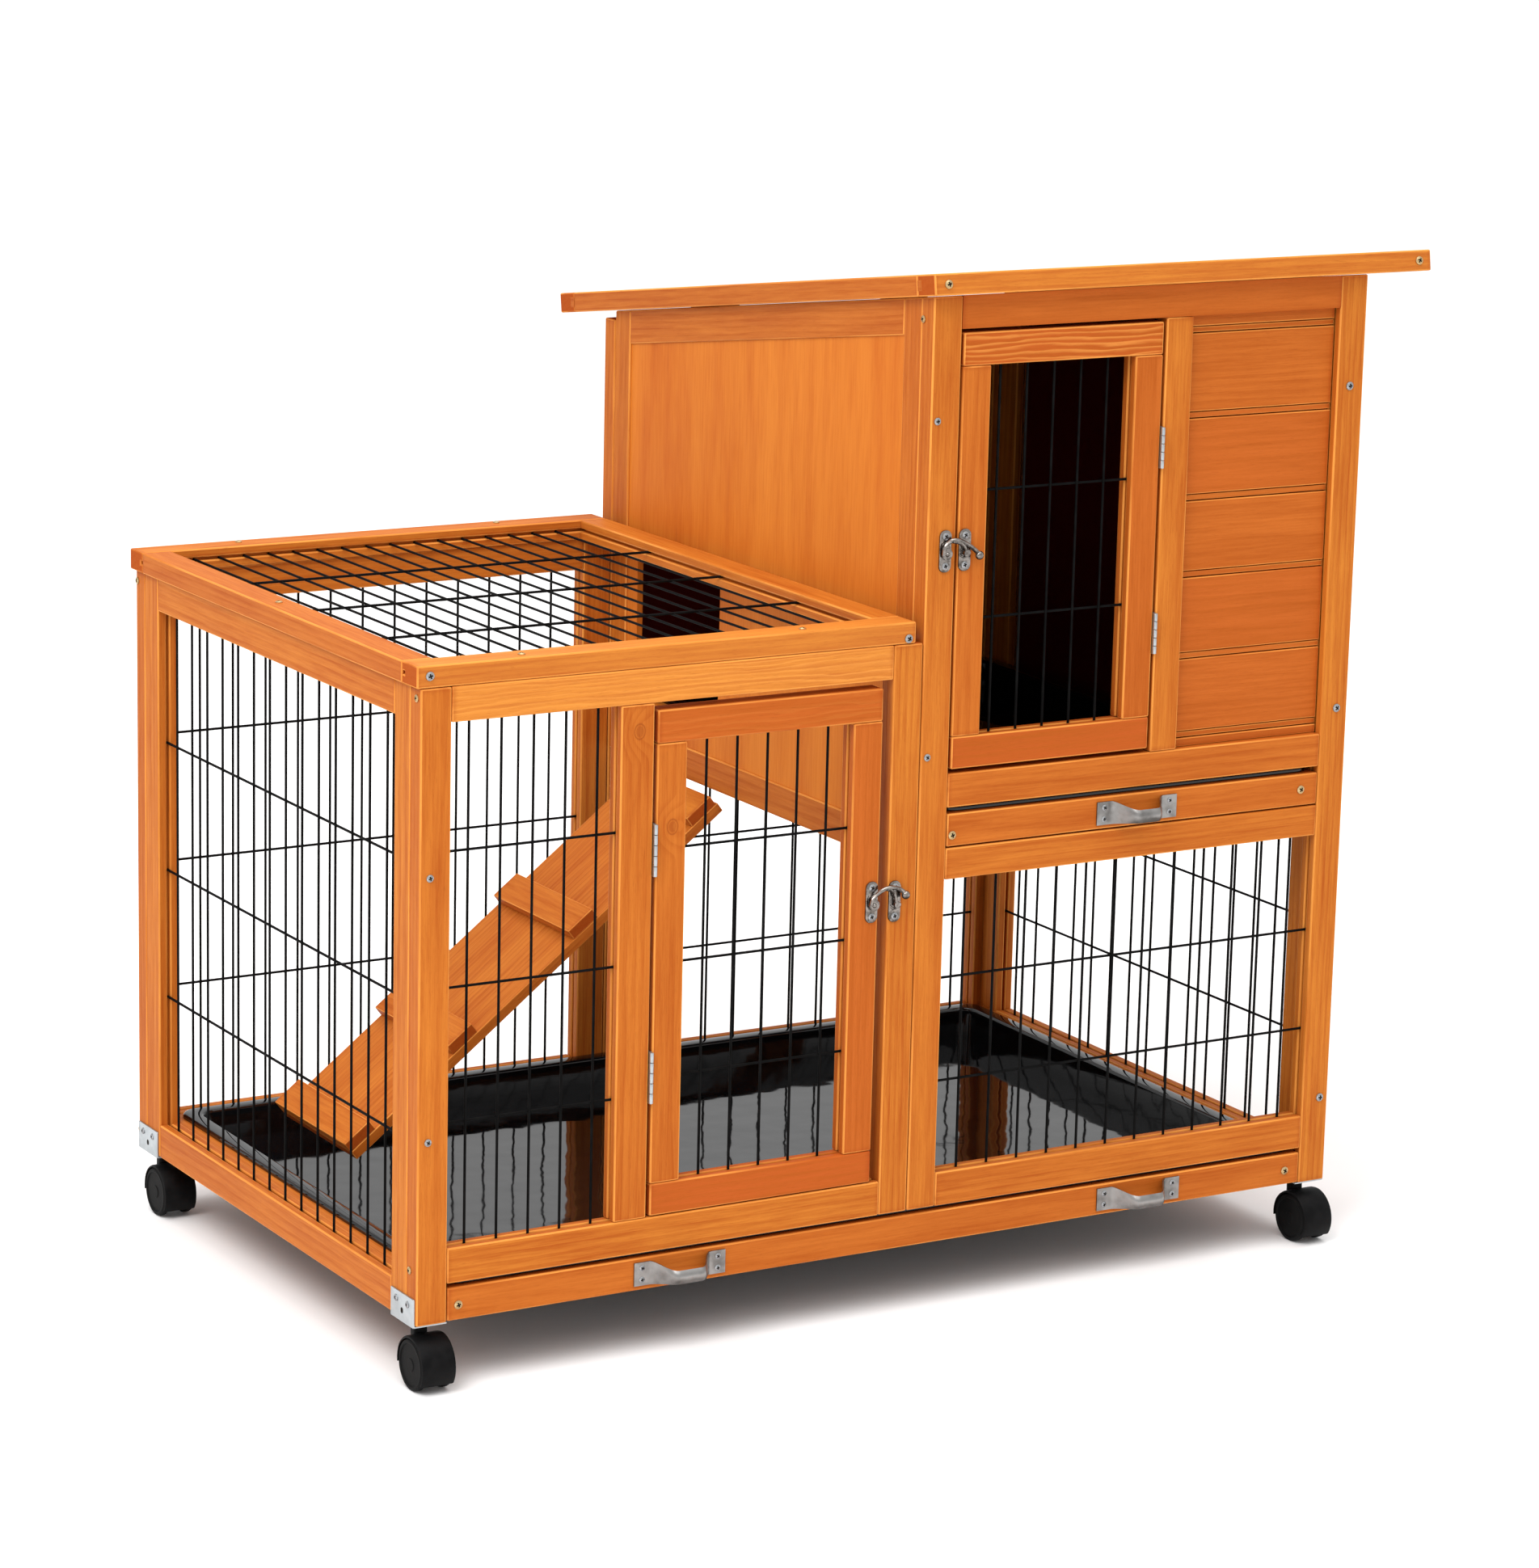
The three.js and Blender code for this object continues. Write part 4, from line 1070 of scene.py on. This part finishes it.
def drawTray(node, body, x, y, rim, floor, plan):
    bm = bmesh.new()
    low = (x[0] + plan["inset"], y[0] + plan["lip"])
    high = (x[1] - plan["inset"], y[1] - plan["inset"])
    middle = Vector(((low[0] + high[0]) / 2, (low[1] + high[1]) / 2, 0))
    roundedGrid(bm, high[0] - low[0], high[1] - low[1], plan["corner"])
    bmesh.ops.translate(bm, vec=middle + Vector((0, 0, floor + plan["floorThick"])), verts=bm.verts)

    def draw(move):
        for v in madeVerts(bmesh.ops.extrude_edge_only(bm, edges=openEdges(bm))):
            v.co += move(v.co - middle)

    draw(lambda off: Vector((0, 0, rim - floor - plan["floorThick"])))
    rimward = plan["inset"] - plan["thick"] - plan["clear"]
    forward = plan["thick"] + plan["clear"] - plan["lip"]
    draw(lambda off: Vector((math.copysign(rimward, off.x), rimward if off.y > 0 else forward, 0)))
    draw(lambda off: Vector((0, 0, -plan["roll"])))
    turnUp(bm)
    sharp = [e for e in bm.edges if e.calc_face_angle(0) > 1.2]
    easeEdges(bm, sharp, plan["soft"], 3, True)
    bmesh.ops.solidify(bm, geom=bm.faces[:], thickness=-plan["thick"])
    shaped(node, placed(bm, fromDatum), "tray", body)


drawTray("lower_tray", "lower_drawer", (29.5, 937.5), (7, 578), 94.4, 61, trayShape)
drawTray("upper_tray", "upper_drawer", (526.6, 937.5), (7, 578), 466.2, 433, trayShape)

# the screws that hold the frames together
roofNormal = Vector((0, math.sin(roofPlan["slope"]), math.cos(roofPlan["slope"])))


def onRoofEdge(x):
    lift = roofNormal * roofPlan["thick"] / 2
    return facing(x, roofPlan["front"] + lift.y, roofPlan["frontZ"] + lift.z, axes["x"], roofNormal)


def atBack(x, z):
    return facing(x, 600, z, -axes["x"], axes["z"])


small = 0.85
frontSpots = ((8, 632.7), (480, 627), (952, 827), (955, 523), (958, 143))
stileSpots = ((9.5, 458), (9.5, 225), (503, 819.5), (503, 517))
leftSpots = ((7.5, 613), (596, 612), (13.4, 108), (596, 76))
lidSpots = ((100, 11), (10, 304), (102, 594), (376, 594), (377, 11))
screws("frame_screws_front", [onFront(x, z) for x, z in frontSpots], "hutch")
screws("frame_screws_stiles", [onFront(x, z) for x, z in stileSpots], "hutch", size=small)
screws("frame_screws_left", [onLeft(y, z) for y, z in leftSpots], "hutch", "yellowScrew", small)
screws("tower_screws_left", [onLeft(17, 908, 496.5), onLeft(10, 455, 496.5)], "hutch", "yellowScrew", small)
screws("tower_screws_right", [onRight(y, z, 967.5) for y in (10, 590) for z in (110, 420, 820)], "hutch",
       "yellowScrew", small)
screws("lid_screws", [onTop(x, y, 641.7) for x, y in lidSpots], "hutch", "yellowScrew", small)
screws("roof_screws_front", [onRoofEdge(x) for x in (503, 1016)], "roof", "yellowScrew")
screws("lower_drawer_screws", [onFront(x, 75) for x in (40, 920.6)], "lower_drawer", "yellowScrew")
screws("upper_drawer_screws", [onFront(532, 443), onFront(918, 448)], "upper_drawer", "yellowScrew")
screws("back_screws", [atBack(x, z) for x in (14, 480, 511, 953) for z in (76, 420, 607)], "hutch",
       "yellowScrew", small)
print("hardware made")

# carried-over CAD nodes
carried = {
    "left_wall_panel": "plyLeft", "right_wall_panel": "plyRight", "back_wall_panel": "plyBack",
    "roof_panel": "plyRoof", "lower_ledge": "firY", "upper_ledge": "firY",
    "roof_hinge_left": "blackMetal", "roof_hinge_right": "blackMetal",
}
for node, key in carried.items():
    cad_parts[node].data.materials.clear()
    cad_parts[node].data.materials.append(finish[key])

# stage
floorMesh = bpy.data.meshes.new("floor")
bm = bmesh.new()
bmesh.ops.create_grid(bm, x_segments=1, y_segments=1, size=60)
bm.to_mesh(floorMesh)
bm.free()
floor = linked("floor", floorMesh)
floorMesh.materials.append(startMaterial("studioFloor", Roughness=0.9, Base_Color=(0.90, 0.89, 0.885, 1))[0])

sky = bpy.data.worlds.new("studio")
bpy.context.scene.world = sky
sky.use_nodes = True
sky.node_tree.nodes["Background"].inputs[0].default_value = (1, 1, 1, 1)
sky.node_tree.nodes["Background"].inputs[1].default_value = 0.78

lightPlan = {
    "key": {"at": (-2.6, -1.6, 3.6), "size": 2.2, "power": 95},
    "top": {"at": (0.4, 0.2, 4.2), "size": 3.0, "power": 60},
}
for name, plan in lightPlan.items():
    lamp = bpy.data.lights.new(name, "AREA")
    lamp.shape = "SQUARE"
    lamp.size = plan["size"]
    lamp.energy = plan["power"]
    shone = linked(name, lamp)
    shone.location = plan["at"]
    aim = Vector((0, 0, 0.4)) - shone.location
    shone.rotation_euler = aim.to_track_quat("-Z", "Y").to_euler()
sun = bpy.data.lights.new("overhead", "SUN")
sun.energy = 1.55
sun.angle = math.radians(75)
overhead = linked("overhead", sun)
overhead.rotation_euler = Vector((0.15, 0.30, -0.95)).to_track_quat("-Z", "Y").to_euler()
print("stage set")
